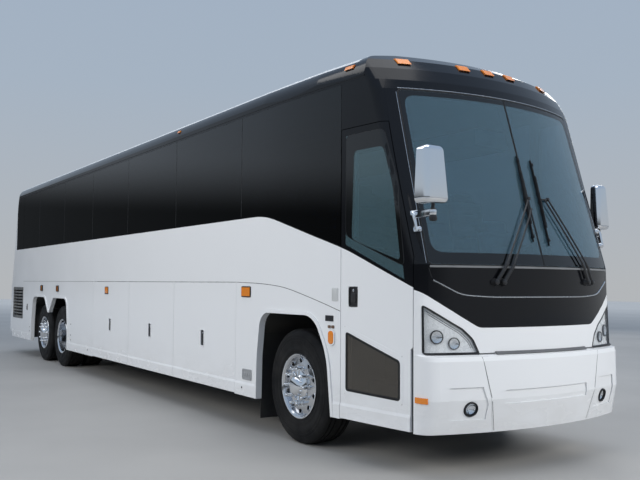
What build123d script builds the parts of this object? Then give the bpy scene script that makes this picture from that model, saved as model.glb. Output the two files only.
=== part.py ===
from build123d import *
import math
import os

# A three-axle highway coach. Millimetres, +X forward, +Y to the driver's side, +Z up.
# The origin is on the ground, under the middle of the box that holds the body and its mirrors.

os.makedirs("parts", exist_ok=True)

# Overall sizes
LENGTH = 13840
WIDTH = 2590
MIRROR_REACH = 85
NOSE = (LENGTH - MIRROR_REACH) / 2
TAIL = NOSE - LENGTH
HALF = WIDTH / 2
SKIRT_Z = 340
GUTTER_Z = 3240
ROOF_EDGE_RADIUS = 250
CROWN_RADIUS = 8000

# Shell, glass and fits
WALL = 55
GLASS = 8
SEAT = 0.5
DOOR_GAP = 6
CLEAR = 6
PANE_GAP = 8
POCKET = 12
PROUD = 12
SIDE_CURVE_START = NOSE - 2520
SIDE_CURVE_RADIUS = 17000
REAR_CORNER = 150

# Lines of the outside
BUMPER_TOP = 935
BELT_Z = 2165
SEAM_Z = 1503
BAND_TOP = GUTTER_Z - 6
WINDOW_EDGE = 62
CAP_REAR_X = TAIL + 545
CAP_LOW_X = TAIL + 345
CAP_STEP_LOW_Z = 1450
CAP_STEP_HIGH_Z = 1750
PILLAR_LOW_Z = 1708
PILLAR_TOP_Z = 3212
PILLAR_LOW_X = NOSE - 360
PILLAR_TOP_X = NOSE - 788
DOOR_REAR_X = NOSE - 1222
DOOR_SEAL = 30
DOOR_SEAL_TOP = 985
DOOR_BOTTOM_Z = 350
DOOR_TOP_Z = 2830

# Running gear
FRONT_AXLE_X = NOSE - 1970
WHEELBASE = 8010
TAG_SPACING = 1220
DRIVE_AXLE_X = FRONT_AXLE_X - WHEELBASE
TAG_AXLE_X = DRIVE_AXLE_X - TAG_SPACING
TYRE_RADIUS = 535
TYRE_WIDTH = 315
RIM_RADIUS = 285.5
TYRE_Y = 1058
TWIN_SPACING = 350
ARCH_TOP_Z = 1205
ARCH_HALF = 640
KINGPIN_Y = 840
KINGPIN_RADIUS = 25
SPINDLE_RADIUS = 40
HUB_FIT = 0.05
TIE_ROD_BACK = 200
TIE_ROD_Z = 400
TIE_PIN_RADIUS = 12

# Frame and floors
FLOOR_TOP = 1370
FLOOR_THICK = 40
PLATFORM_TOP = 950
FLOOR_FRONT_X = NOSE - 1250
RAIL_Y = 400
RAIL_WIDTH = 80
RAIL_LOW = 700
RAIL_HIGH = 820
BAY_SEAMS = [NOSE - 7950, NOSE - 6350, NOSE - 4755, NOSE - 3090]
BAY_FLOOR_Z = 352
SHEET = 30
STEPS_INNER_Y = 460

# Window posts, from the tail forward
WINDOW_POSTS = [NOSE - back for back in (12700, 11420, 9690, 8080, 6460, 4740, 3000)]

# Outline of the body seen from above, by height:
# height, nose set back, bow radius, front corner radius, tail set forward, share of a wall taken downward
LEVELS = [
    (SKIRT_Z, 60, 3400, 140, 30, 0),
    (600, 0, 3400, 140, 0, 0),
    (900, 5, 3400, 140, 5, 0),
    (BUMPER_TOP, 15, 3400, 140, 10, 0),
    (BUMPER_TOP + 15, 52, 3000, 140, 40, 0),
    (1400, 58, 2800, 140, 40, 0),
    (1650, 60, 2760, 140, 130, 0),
    (3130, 515, 2700, 110, 440, 0.1),
    (3215, 555, 2700, 110, 470, 0.4),
    (3330, 630, 2680, 110, 530, 0.6),
    (3430, 725, 2650, 110, 610, 0.7),
    (3510, 880, 2600, 110, 750, 0.8),
    (3640, 1500, 2600, 110, 1500, 1),
]


def side_y(x, inset=0):
    """Half width of the body at x: straight, then drawn in towards the nose."""
    ahead = max(0, x - SIDE_CURVE_START)
    radius = SIDE_CURVE_RADIUS - inset
    return HALF - SIDE_CURVE_RADIUS + math.sqrt(radius**2 - ahead**2)


def unit(a, b):
    size = math.hypot(b[0] - a[0], b[1] - a[1])
    return (b[0] - a[0]) / size, (b[1] - a[1]) / size


def nose_arcs(nose, bow, corner, inset):
    """Side arc, corner arc and bow arc of the left front quarter, tangent to each other."""
    side_centre = (SIDE_CURVE_START, HALF - SIDE_CURVE_RADIUS)
    side_radius = SIDE_CURVE_RADIUS - inset
    bow_centre = (nose - bow, 0)
    bow_radius = bow - inset
    radius = corner - inset
    from_side = side_radius - radius
    from_bow = bow_radius - radius
    along = unit(side_centre, bow_centre)
    apart = math.dist(side_centre, bow_centre)
    share = (from_side**2 - from_bow**2 + apart**2) / (2 * apart)
    rise = math.sqrt(from_side**2 - share**2)
    centre = (
        side_centre[0] + share * along[0] + rise * along[1],
        side_centre[1] + share * along[1] - rise * along[0],
    )
    outward = unit(side_centre, centre)
    leave_side = (centre[0] + radius * outward[0], centre[1] + radius * outward[1])
    forward = unit(bow_centre, centre)
    reach_bow = (centre[0] + radius * forward[0], centre[1] + radius * forward[1])
    middle = unit((0, 0), (outward[0] + forward[0], outward[1] + forward[1]))
    corner_mid = (centre[0] + radius * middle[0], centre[1] + radius * middle[1])
    side_mid_x = (SIDE_CURVE_START + leave_side[0]) / 2
    side_mid = (side_mid_x, side_y(side_mid_x, inset))
    return side_mid, leave_side, corner_mid, reach_bow


def plan_lines(nose, bow, corner, tail, inset):
    """Closed outline of the body at one height."""
    side_mid, leave_side, corner_mid, reach_bow = nose_arcs(nose, bow, corner, inset)
    half = HALF - inset
    round_rear = REAR_CORNER - inset
    rear = tail + inset
    turn = round_rear * (1 - math.sqrt(0.5))
    for sign in (1, -1):
        start = (SIDE_CURVE_START, sign * half)
        Line((rear + round_rear, sign * half), start)
        ThreePointArc(start, (side_mid[0], sign * side_mid[1]), (leave_side[0], sign * leave_side[1]))
        ThreePointArc(
            (leave_side[0], sign * leave_side[1]),
            (corner_mid[0], sign * corner_mid[1]),
            (reach_bow[0], sign * reach_bow[1]),
        )
        ThreePointArc(
            (rear + round_rear, sign * half),
            (rear + turn, sign * (half - turn)),
            (rear, sign * (half - round_rear)),
        )
    ThreePointArc(reach_bow, (nose - inset, 0), (reach_bow[0], -reach_bow[1]))
    Line((rear, half - round_rear), (rear, -half + round_rear))


def roof_section(x, inset):
    """Cross-section of the body at x, a little wider than the sides, so that its crease is the gutter."""
    half = side_y(x) + 8 - inset
    edge = ROOF_EDGE_RADIUS - inset
    crown = CROWN_RADIUS - inset
    drop = math.sqrt((crown - edge) ** 2 - (half - edge) ** 2)
    centre_z = GUTTER_Z - drop
    angle = math.atan2(drop, half - edge)
    meet = (crown * math.cos(angle), centre_z + crown * math.sin(angle))
    bisect = angle / 2
    edge_mid = (half - edge + edge * math.cos(bisect), GUTTER_Z + edge * math.sin(bisect))
    low = SKIRT_Z - 100
    for sign in (1, -1):
        Line((sign * half, low), (sign * half, GUTTER_Z))
        ThreePointArc((sign * half, GUTTER_Z), (sign * edge_mid[0], edge_mid[1]), (sign * meet[0], meet[1]))
    ThreePointArc(meet, (0, centre_z + crown), (-meet[0], meet[1]))
    Line((half, low), (-half, low))


def body_form(inset):
    """Solid of the whole body, its skin moved inwards by inset."""
    with BuildPart() as plan:
        for z, nose_back, bow, corner, tail_on, down in LEVELS:
            level = z - down * inset
            if z == SKIRT_Z and inset > 0:
                level = z - 50
            slack = inset * (1 - math.sqrt(1 - down**2))
            with BuildSketch(Plane.XY.offset(level)):
                with BuildLine():
                    plan_lines(NOSE - nose_back + slack, bow, corner, TAIL + tail_on - slack, inset)
                make_face()
        loft(ruled=True)
    with BuildPart() as form:
        for x in (TAIL - 100, SIDE_CURVE_START, NOSE - 1600, NOSE - 700, NOSE + 100):
            with BuildSketch(Plane.YZ.offset(x)):
                with BuildLine():
                    roof_section(x, inset)
                make_face()
        loft(ruled=True)
        add(plan.part, mode=Mode.INTERSECT)
    return form.part


FAR = 2 * HALF
AHEAD = NOSE + 100
LOW = SKIRT_Z - 60


def prism(plane, points, amount, both=False):
    """Prism over a polygon, kept apart from the piece being made."""
    with BuildPart(mode=Mode.PRIVATE) as solid:
        with BuildSketch(plane):
            with BuildLine():
                Polyline(*points, close=True)
            make_face()
        extrude(amount=amount, both=both)
    return solid.part


def side_prism(points, side):
    """Prism over an outline in X and Z, out through one side: 1 is the left, -1 the right, 0 is both."""
    return prism(Plane.XZ, points, FAR if side == 0 else -side * FAR, both=side == 0)


def front_prism(points):
    """Prism over an outline in Y and Z, out through the front."""
    return prism(Plane.YZ.offset(NOSE - 2500), points, 3000)


def rear_prism(points):
    """Prism over an outline in Y and Z, out through the rear."""
    return prism(Plane.YZ.offset(TAIL + 2500), points, -3000)


def box(x, y, z):
    """Plain block between two limits along each axis, kept apart from the piece being made."""
    with BuildPart(mode=Mode.PRIVATE) as block:
        with Locations(((x[0] + x[1]) / 2, (y[0] + y[1]) / 2, (z[0] + z[1]) / 2)):
            Box(abs(x[1] - x[0]), abs(y[1] - y[0]), abs(z[1] - z[0]))
    return block.part


def post(x, y, z0, z1, radius):
    """Upright cylinder, kept apart from the piece being made."""
    with BuildPart(mode=Mode.PRIVATE) as cylinder:
        with BuildSketch(Plane.XY.offset(z0)):
            with Locations((x, y)):
                Circle(radius)
        extrude(amount=z1 - z0)
    return cylinder.part


def shaft(x, y0, y1, z, radius):
    """Cylinder across the vehicle, kept apart from the piece being made."""
    with BuildPart(mode=Mode.PRIVATE) as cylinder:
        with BuildSketch(Plane.XZ.offset(-y0)):
            with Locations((x, z)):
                Circle(radius)
        extrude(amount=y0 - y1)
    return cylinder.part


def rectangle(x0, x1, z0, z1):
    return [(x0, z0), (x1, z0), (x1, z1), (x0, z1)]


def cut_from(skin, regions, holes=()):
    """Piece of a skin that lies inside every region and outside every hole."""
    with BuildPart(mode=Mode.PRIVATE) as piece:
        add(skin)
        for region in regions:
            add(region, mode=Mode.INTERSECT)
        if holes:
            add(holes, mode=Mode.SUBTRACT)
    return piece.part


def mirrored(part):
    return mirror(part, about=Plane.XZ, mode=Mode.PRIVATE)


def save(piece, name):
    piece.part.label = name
    export_step(piece.part, f"parts/{name}.step")
    print(name, len(piece.part.solids()), piece.part.is_valid)


# Step along the foot of the sides: height and how far it stands out
SKIRT_STEP = [(SKIRT_Z, 8), (455, 8), (485, -2)]


def skirt_form():
    """Solid that makes the foot of both sides stand out a little between the bumpers."""
    with BuildPart(mode=Mode.PRIVATE) as foot:
        for z, out in SKIRT_STEP:
            with BuildSketch(Plane.XY.offset(z)):
                with BuildLine():
                    plan_lines(NOSE, 3400, 140, TAIL, -out)
                make_face()
        loft(ruled=True)
    return cut_from(foot.part, [box((CAP_LOW_X + 10, PILLAR_LOW_X - 10), (-FAR, FAR), (0, 600))])


outer_form = body_form(0)
inner_form = body_form(WALL)
room_form = body_form(WALL + SEAT)
with BuildPart() as stepped_shell:
    add(outer_form)
    add(skirt_form())
    add(inner_form, mode=Mode.SUBTRACT)
shell = stepped_shell.part
glass_skin = cut_from(outer_form, [], [body_form(GLASS)])
rebate_skin = cut_from(outer_form, [], [body_form(GLASS + SEAT)])
pocket_form = body_form(POCKET)
proud_form = body_form(-PROUD)
near_form = body_form(-SEAT)


def pillar_x(z):
    """Line where the front cap meets the side wall or the door."""
    share = (z - PILLAR_LOW_Z) / (PILLAR_TOP_Z - PILLAR_LOW_Z)
    return PILLAR_LOW_X + max(0, share) * (PILLAR_TOP_X - PILLAR_LOW_X)


# Lower edge of the black glass band: level, then dipping towards the nose in two wide bends.
# Each bend: x and height of the corner it rounds, slope before and after it, and its radius
BELT_BENDS = [
    (NOSE - 2473, BELT_Z, 0, -0.286, 1700),
    (NOSE - 1150, BELT_Z - 378, -0.286, -0.405, 3500),
]


def bend_points(x, z, before, after, radius):
    """Five points along a bend, from where it leaves one straight to where it meets the next."""
    first, last = math.atan(before), math.atan(after)
    reach = radius * math.tan((first - last) / 2)
    centre_x = x - reach * math.cos(first) + radius * math.sin(first)
    centre_z = z - reach * math.sin(first) - radius * math.cos(first)
    turns = [first + (last - first) * step / 4 for step in range(5)]
    return [(centre_x - radius * math.sin(turn), centre_z + radius * math.cos(turn)) for turn in turns]


BELT_STATIONS = [(NOSE - 3200, BELT_Z)]
for bend in BELT_BENDS:
    BELT_STATIONS += bend_points(*bend)
BELT_STATIONS.append((NOSE, BELT_Z - 378 - 0.405 * 1150))


def belt_z(x):
    """Height of the belt at x."""
    for (x0, z0), (x1, z1) in zip(BELT_STATIONS, BELT_STATIONS[1:]):
        if x <= x1:
            return z0 + max(0, x - x0) / (x1 - x0) * (z1 - z0)


def over_belt(x0, x1, rise, top):
    """Outline from a line over the belt up to top, between two stations."""
    bends = [x for x, _ in BELT_STATIONS if x0 < x < x1]
    return [(x, belt_z(x) + rise) for x in (x0, *bends, x1)] + [(x1, top), (x0, top)]


# Wheel arches, seen from the side: corners from the rear forward, then the radius that rounds each inner one
ARCH_CENTRE = (DRIVE_AXLE_X + TAG_AXLE_X) / 2
ARCH_LIP = 35
LIP_DEEP = 50
front_arch = [
    (FRONT_AXLE_X - ARCH_HALF - 10, LOW),
    (FRONT_AXLE_X - ARCH_HALF, 760),
    (FRONT_AXLE_X - ARCH_HALF + 65, ARCH_TOP_Z),
    (FRONT_AXLE_X + 365, ARCH_TOP_Z),
    (FRONT_AXLE_X + 560, 870),
    (FRONT_AXLE_X + 630, LOW),
]
FRONT_ARCH_RADII = [900, 170, 260, 700]
rear_arch = [
    (TAG_AXLE_X - ARCH_HALF, LOW),
    (TAG_AXLE_X - ARCH_HALF + 15, 760),
    (TAG_AXLE_X - ARCH_HALF + 100, ARCH_TOP_Z),
    (ARCH_CENTRE - 300, ARCH_TOP_Z),
    (ARCH_CENTRE - 40, 930),
    (ARCH_CENTRE + 40, 930),
    (ARCH_CENTRE + 300, ARCH_TOP_Z),
    (DRIVE_AXLE_X + ARCH_HALF - 100, ARCH_TOP_Z),
    (DRIVE_AXLE_X + ARCH_HALF - 15, 760),
    (DRIVE_AXLE_X + ARCH_HALF, LOW),
]
REAR_ARCH_RADII = [900, 170, 150, 60, 60, 150, 170, 900]


def arch_prism(corners, radii, side, wider=0, start=0):
    """Prism over a wheel arch with rounded corners, outwards from start; wider makes it larger all round."""
    with BuildPart(mode=Mode.PRIVATE) as solid:
        with BuildSketch(Plane.XZ.offset(-side * start)):
            with BuildLine():
                FilletPolyline(*corners, radius=radii)
                Line(corners[-1], corners[0])
            make_face()
            if wider:
                offset(amount=wider)
        extrude(amount=-side * FAR)
    return solid.part



bay_spans = list(zip(BAY_SEAMS, BAY_SEAMS[1:]))
BAND_REAR_X = CAP_REAR_X + 25
window_spans = list(zip([BAND_REAR_X] + WINDOW_POSTS, WINDOW_POSTS + [DOOR_REAR_X - DOOR_GAP]))
GRILLE = (TAIL + 385, TAIL + 1220, 750, 1370)
BAND_END_RADIUS = 627


def band_end(inset):
    """Disc that rounds off the rear end of the glass band."""
    with BuildPart(mode=Mode.PRIVATE) as disc:
        with BuildSketch(Plane.XZ):
            with Locations((BAND_REAR_X + BAND_END_RADIUS, (BELT_Z + GUTTER_Z) / 2)):
                Circle(BAND_END_RADIUS - inset)
        extrude(amount=FAR, both=True)
    return disc.part


# Side walls and their glass: skirt, arches, luggage door openings and the window band
first_x1 = window_spans[0][1]
header = [
    (DOOR_REAR_X - DOOR_GAP, DOOR_TOP_Z + DOOR_GAP),
    (AHEAD, DOOR_TOP_Z + DOOR_GAP),
    (AHEAD, LOW),
    (DOOR_REAR_X - DOOR_GAP, LOW),
]
driver_corner_x = NOSE - 430
driver_window = over_belt(DOOR_REAR_X, driver_corner_x, 10, 2250)[:-2]
driver_window += [(pillar_x(2250) - 40, 2250), (pillar_x(BAND_TOP) - 40, BAND_TOP), (DOOR_REAR_X, BAND_TOP)]
driver_opening = over_belt(DOOR_REAR_X + 70, driver_corner_x - 90, 90, 2250)[:-2]
driver_opening += [
    (pillar_x(2250) - 130, 2250),
    (pillar_x(3100) - 120, 3100),
    (DOOR_REAR_X + 70, 3100),
]
for side, name in ((-1, "right"), (1, "left")):
    region = [
        (CAP_REAR_X + SEAT, GUTTER_Z),
        (CAP_REAR_X + SEAT, CAP_STEP_HIGH_Z),
        (CAP_LOW_X + SEAT, CAP_STEP_LOW_Z),
        (CAP_LOW_X + SEAT, LOW),
        (PILLAR_LOW_X - SEAT, LOW),
        (PILLAR_LOW_X - SEAT, PILLAR_LOW_Z),
        (pillar_x(GUTTER_Z) - SEAT, GUTTER_Z),
    ]
    arches = [(front_arch, FRONT_ARCH_RADII), (rear_arch, REAR_ARCH_RADII)]
    holes = [arch_prism(corners, radii, side) for corners, radii in arches]
    for x0, x1 in bay_spans:
        holes.append(side_prism(rectangle(x0, x1, LOW, SEAM_Z + DOOR_GAP / 2), side))
    for x0, x1 in window_spans[1:]:
        opening = over_belt(x0 + WINDOW_EDGE, x1 - WINDOW_EDGE, WINDOW_EDGE, BAND_TOP - WINDOW_EDGE)
        holes.append(side_prism(opening, side))
    rear_opening = rectangle(BAND_REAR_X + 150, first_x1 - WINDOW_EDGE, BELT_Z + 180, BAND_TOP - 180)
    holes.append(side_prism(rear_opening, side))
    holes.append(side_prism(rectangle(*GRILLE), side))
    first_rebate = rectangle(BAND_REAR_X, first_x1, BELT_Z + 10, BAND_TOP)
    holes.append(cut_from(rebate_skin, [side_prism(first_rebate, side), band_end(0)]))
    long_rebate = over_belt(first_x1, DOOR_REAR_X - DOOR_GAP, 10, BAND_TOP)
    holes.append(cut_from(rebate_skin, [side_prism(long_rebate, side)]))
    first_pane = rectangle(BAND_REAR_X, first_x1 - PANE_GAP / 2, BELT_Z + 10 + SEAT, BAND_TOP - SEAT)
    panes = [cut_from(glass_skin, [side_prism(first_pane, side), band_end(SEAT)])]
    for x0, x1 in window_spans[1:]:
        outline = over_belt(x0 + PANE_GAP / 2, x1 - PANE_GAP / 2, 10 + SEAT, BAND_TOP - SEAT)
        panes.append(cut_from(glass_skin, [side_prism(outline, side)]))
    if side < 0:
        holes.append(side_prism(header, side))
    else:
        holes.append(side_prism(driver_opening, side))
        holes.append(cut_from(rebate_skin, [side_prism(driver_window, side)]))
        lifted = [(x + (SEAT if x < NOSE - 1000 else -SEAT), z) for x, z in driver_window]
        lifted = [(x, z - SEAT if z > 2250 else z + 2 * SEAT if z < 2250 else z) for x, z in lifted]
        panes.append(cut_from(glass_skin, [side_prism(lifted, side)]))
    with BuildPart() as wall:
        add(cut_from(shell, [side_prism(region, side)]))
        for corners, radii in arches:
            add(cut_from(proud_form, [arch_prism(corners, radii, side, ARCH_LIP, HALF - LIP_DEEP)]))
        add(holes, mode=Mode.SUBTRACT)
    save(wall, f"{name}_side_wall")
    with BuildPart() as windows:
        for pane in panes:
            add(pane)
    save(windows, f"{name}_side_windows")

# Entry door: a shell panel that follows the curve of the side, its glass set flush in two rebates
door_edge = [
    (DOOR_REAR_X, DOOR_BOTTOM_Z),
    (PILLAR_LOW_X - DOOR_SEAL, DOOR_BOTTOM_Z),
    (PILLAR_LOW_X - DOOR_SEAL, DOOR_SEAL_TOP),
    (PILLAR_LOW_X - DOOR_GAP, DOOR_SEAL_TOP + 20),
    (PILLAR_LOW_X - DOOR_GAP, PILLAR_LOW_Z),
    (pillar_x(DOOR_TOP_Z) - DOOR_GAP, DOOR_TOP_Z),
    (DOOR_REAR_X, DOOR_TOP_Z),
]
upper_glass = [
    (DOOR_REAR_X + 60, belt_z(DOOR_REAR_X) + 25),
    (NOSE - 455, belt_z(NOSE - 455) + 25),
    (pillar_x(2300) - 50, 2300),
    (pillar_x(DOOR_TOP_Z) - 55, DOOR_TOP_Z - 60),
    (DOOR_REAR_X + 60, DOOR_TOP_Z - 60),
]
upper_opening = [
    (NOSE - 1084, 1870),
    (NOSE - 796, 1780),
    (NOSE - 500, 1680),
    (NOSE - 589, 2292),
    (NOSE - 700, 2629),
    (NOSE - 1058, 2629),
]
lower_glass = [(NOSE - 1170, 560), (NOSE - 478, 545), (NOSE - 478, 925), (NOSE - 1170, 1130)]
lower_opening = [(NOSE - 1140, 590), (NOSE - 508, 575), (NOSE - 508, 898), (NOSE - 1140, 1090)]


def moved_in(points, amount):
    """Outline with every corner moved towards its middle, for a pane inside its rebate."""
    centre_x = sum(x for x, _ in points) / len(points)
    centre_z = sum(z for _, z in points) / len(points)
    return [
        (x - math.copysign(amount, x - centre_x), z - math.copysign(amount, z - centre_z)) for x, z in points
    ]


door_holes = [side_prism(upper_opening, -1), side_prism(lower_opening, -1)]
door_holes += [cut_from(rebate_skin, [side_prism(outline, -1)]) for outline in (upper_glass, lower_glass)]
handle_pocket = rectangle(NOSE - 1121, NOSE - 1003, 1297, 1470)
door_holes.append(cut_from(side_prism(handle_pocket, -1), [], [pocket_form]))
with BuildPart() as entry_door:
    add(cut_from(shell, [side_prism(door_edge, -1)], door_holes))
save(entry_door, "entry_door")
with BuildPart() as entry_door_glass:
    for outline in (upper_glass, lower_glass):
        add(cut_from(glass_skin, [side_prism(moved_in(outline, SEAT), -1)]))
save(entry_door_glass, "entry_door_glass")

# Luggage bay doors, three to a side, hinged along the seam, each with a pocket for its handle
# Place, then the middle of the handle pocket along X
bay_handles = [("rear", NOSE - 7140), ("middle", NOSE - 5550), ("front", NOSE - 3920)]
for side, side_name in ((-1, "right"), (1, "left")):
    for (x0, x1), (place, handle_x) in zip(bay_spans, bay_handles):
        outline = rectangle(x0 + DOOR_GAP / 2, x1 - DOOR_GAP / 2, SKIRT_Z + 10, SEAM_Z - DOOR_GAP / 2)
        pocket = box((handle_x - 45, handle_x + 45), (side * (HALF - POCKET), side * FAR), (780, 960))
        with BuildPart() as bay_door:
            add(cut_from(shell, [side_prism(outline, side)], [pocket]))
        save(bay_door, f"{side_name}_{place}_bay_door")

# Windshield: two bent panes set flush in the front cap, either side of a narrow post
WINDSHIELD_LOW = 1652
WINDSHIELD_HIGH = 3118
WINDSHIELD_HALF_LOW = HALF - 225
WINDSHIELD_HALF_HIGH = HALF - 265
windshield_edge = [
    (-WINDSHIELD_HALF_LOW, WINDSHIELD_LOW),
    (WINDSHIELD_HALF_LOW, WINDSHIELD_LOW),
    (WINDSHIELD_HALF_HIGH, WINDSHIELD_HIGH),
    (-WINDSHIELD_HALF_HIGH, WINDSHIELD_HIGH),
]
POST_HALF = 35
with BuildPart() as windshield:
    for side in (-1, 1):
        pane = [
            (side * PANE_GAP / 2, WINDSHIELD_LOW + SEAT),
            (side * (WINDSHIELD_HALF_LOW - SEAT), WINDSHIELD_LOW + SEAT),
            (side * (WINDSHIELD_HALF_HIGH - SEAT), WINDSHIELD_HIGH - SEAT),
            (side * PANE_GAP / 2, WINDSHIELD_HIGH - SEAT),
        ]
        add(cut_from(glass_skin, [front_prism(pane)]))
save(windshield, "windshield")

# Headlamp outline on the right, in Y and Z; the left one is its mirror image
headlamp_edge = [
    (-HALF + 177, 1325),
    (-HALF + 173, 958),
    (-HALF + 610, 958),
    (-HALF + 561, 1064),
    (-HALF + 478, 1143),
    (-HALF + 399, 1188),
]


def flipped(points):
    return [(-y, z) for y, z in reversed(points)]


# Front cap: pillars, header, brow and the panel under the windshield
ROOF_FRONT_X = NOSE - 1100
front_region = [
    (ROOF_FRONT_X, GUTTER_Z + SEAT),
    (pillar_x(GUTTER_Z), GUTTER_Z + SEAT),
    (PILLAR_LOW_X, PILLAR_LOW_Z),
    (PILLAR_LOW_X, BUMPER_TOP + SEAT),
    (AHEAD, BUMPER_TOP + SEAT),
    (AHEAD, 3700),
    (ROOF_FRONT_X, 3700),
]
cap_holes = [cut_from(rebate_skin, [front_prism(windshield_edge)])]
for side in (-1, 1):
    opening = [
        (side * POST_HALF, WINDSHIELD_LOW + 50),
        (side * (WINDSHIELD_HALF_LOW - 50), WINDSHIELD_LOW + 50),
        (side * (WINDSHIELD_HALF_HIGH - 50), WINDSHIELD_HIGH - 50),
        (side * POST_HALF, WINDSHIELD_HIGH - 50),
    ]
    cap_holes.append(front_prism(opening))
for outline in (headlamp_edge, flipped(headlamp_edge)):
    cap_holes.append(front_prism(outline))
with BuildPart() as front_cap:
    add(cut_from(shell, [side_prism(front_region, 0)], cap_holes))
save(front_cap, "front_cap")

# Front bumper in three pieces, with round holes for the fog lamps and a bare plate recess
FOG_Y = HALF - 509
FOG_Z = 530
FOG_RADIUS = 60
BUMPER_SEAM_TOP = 692
BUMPER_SEAM_LOW = 552
bumper_region = rectangle(PILLAR_LOW_X, AHEAD, LOW, BUMPER_TOP)


def fog_bore(side, radius):
    with BuildPart(mode=Mode.PRIVATE) as bore:
        with BuildSketch(Plane.YZ.offset(NOSE - 400)):
            with Locations((side * FOG_Y, FOG_Z)):
                Circle(radius)
        extrude(amount=600)
    return bore.part


FOG_POCKET = [(-975, 700), (-985, 560), (-960, 450), (-650, 445), (-640, 560), (-690, 700)]
PLATE_POCKET = rectangle(-485, 485, 562, 668)
bumper_pockets = [
    cut_from(front_prism(outline), [], [pocket_form])
    for outline in (FOG_POCKET, flipped(FOG_POCKET), PLATE_POCKET)
]
seam = 3
bumper_thirds = [
    [(BUMPER_SEAM_LOW + seam, LOW), (FAR, LOW), (FAR, BUMPER_TOP), (BUMPER_SEAM_TOP + seam, BUMPER_TOP)],
    [
        (-BUMPER_SEAM_LOW, LOW),
        (BUMPER_SEAM_LOW, LOW),
        (BUMPER_SEAM_TOP, BUMPER_TOP),
        (-BUMPER_SEAM_TOP, BUMPER_TOP),
    ],
]
bumper_thirds.append(flipped(bumper_thirds[0]))
with BuildPart() as front_bumper:
    for third in bumper_thirds:
        add(
            cut_from(
                shell,
                [side_prism(bumper_region, 0), front_prism(third)],
                [fog_bore(-1, FOG_RADIUS), fog_bore(1, FOG_RADIUS), *bumper_pockets],
            )
        )
save(front_bumper, "front_bumper")

# Headlamps and fog lamps
with BuildPart() as headlamps:
    lamp = cut_from(shell, [front_prism(moved_in(headlamp_edge, SEAT)), side_prism(front_region, 0)])
    add(lamp)
    add(mirrored(lamp))
    for side in (-1, 1):
        add(cut_from(shell, [fog_bore(side, FOG_RADIUS - SEAT), side_prism(bumper_region, 0)]))
save(headlamps, "headlamps")

# Roof panel with two escape hatch openings, each inside a low curb
HATCH_HALF = 320
HATCH_X = [NOSE - 3600, NOSE - 10100]
CURB = 30
drop = math.sqrt((CROWN_RADIUS - ROOF_EDGE_RADIUS) ** 2 - (HALF + 8 - ROOF_EDGE_RADIUS) ** 2)
CROWN_TOP = GUTTER_Z - drop + CROWN_RADIUS
CURB_TOP = CROWN_TOP + 12
HATCH_THICK = 45


def around(x, half):
    return (x - half, x + half), (-half, half)


roof_holes = [box(*around(x, HATCH_HALF), (GUTTER_Z, CROWN_TOP + 100)) for x in HATCH_X]
roof_region = rectangle(CAP_REAR_X + SEAT, ROOF_FRONT_X - SEAT, GUTTER_Z + SEAT, 3700)
with BuildPart() as roof_panel:
    add(cut_from(shell, [side_prism(roof_region, 0)], roof_holes))
    for x in HATCH_X:
        ring = box(*around(x, HATCH_HALF + CURB), (CROWN_TOP - 40, CURB_TOP))
        add(cut_from(ring, [], [box(*around(x, HATCH_HALF), (GUTTER_Z, CURB_TOP + 10))]))
save(roof_panel, "roof_panel")
for x, place in zip(HATCH_X, ("front", "rear")):
    with BuildPart() as hatch:
        lid = HATCH_HALF + CURB + 15
        add(box(*around(x, lid), (CURB_TOP + SEAT, CURB_TOP + HATCH_THICK)))
    save(hatch, f"{place}_roof_hatch")

# Rear: cap with lamp pockets, bumper and the engine door
ENGINE_DOOR_HALF = 800
ENGINE_DOOR_LOW = BUMPER_TOP + 25
ENGINE_DOOR_HIGH = 1700
TAIL_LAMP = [(HALF - 350, 1000), (HALF - 160, 1000), (HALF - 160, 1480), (HALF - 350, 1480)]
rear_cap_region = [
    (TAIL - 100, BUMPER_TOP + SEAT),
    (CAP_LOW_X, BUMPER_TOP + SEAT),
    (CAP_LOW_X, CAP_STEP_LOW_Z),
    (CAP_REAR_X, CAP_STEP_HIGH_Z),
    (CAP_REAR_X, 3700),
    (TAIL - 100, 3700),
]
engine_hole = rectangle(
    -ENGINE_DOOR_HALF - DOOR_GAP,
    ENGINE_DOOR_HALF + DOOR_GAP,
    ENGINE_DOOR_LOW - DOOR_GAP,
    ENGINE_DOOR_HIGH + DOOR_GAP,
)
with BuildPart() as rear_cap:
    add(
        cut_from(
            shell,
            [side_prism(rear_cap_region, 0)],
            [rear_prism(engine_hole), rear_prism(TAIL_LAMP), rear_prism(flipped(TAIL_LAMP))],
        )
    )
save(rear_cap, "rear_cap")
with BuildPart() as tail_lamps:
    lamp = cut_from(shell, [rear_prism(moved_in(TAIL_LAMP, SEAT))])
    add(lamp)
    add(mirrored(lamp))
save(tail_lamps, "tail_lamps")
with BuildPart() as rear_bumper:
    add(cut_from(shell, [side_prism(rectangle(TAIL - 100, CAP_LOW_X, LOW + 160, BUMPER_TOP), 0)]))
save(rear_bumper, "rear_bumper")
LOUVRES = 7
LOUVRE_PITCH = 60
louvre_cuts = []
for row in range(LOUVRES):
    z = ENGINE_DOOR_LOW + 110 + row * LOUVRE_PITCH
    louvre_cuts.append(rear_prism(rectangle(-560, 560, z, z + 30)))
with BuildPart() as engine_door:
    outline = rectangle(-ENGINE_DOOR_HALF, ENGINE_DOOR_HALF, ENGINE_DOOR_LOW, ENGINE_DOOR_HIGH)
    add(cut_from(shell, [rear_prism(outline)], louvre_cuts))
save(engine_door, "engine_door")

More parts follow.
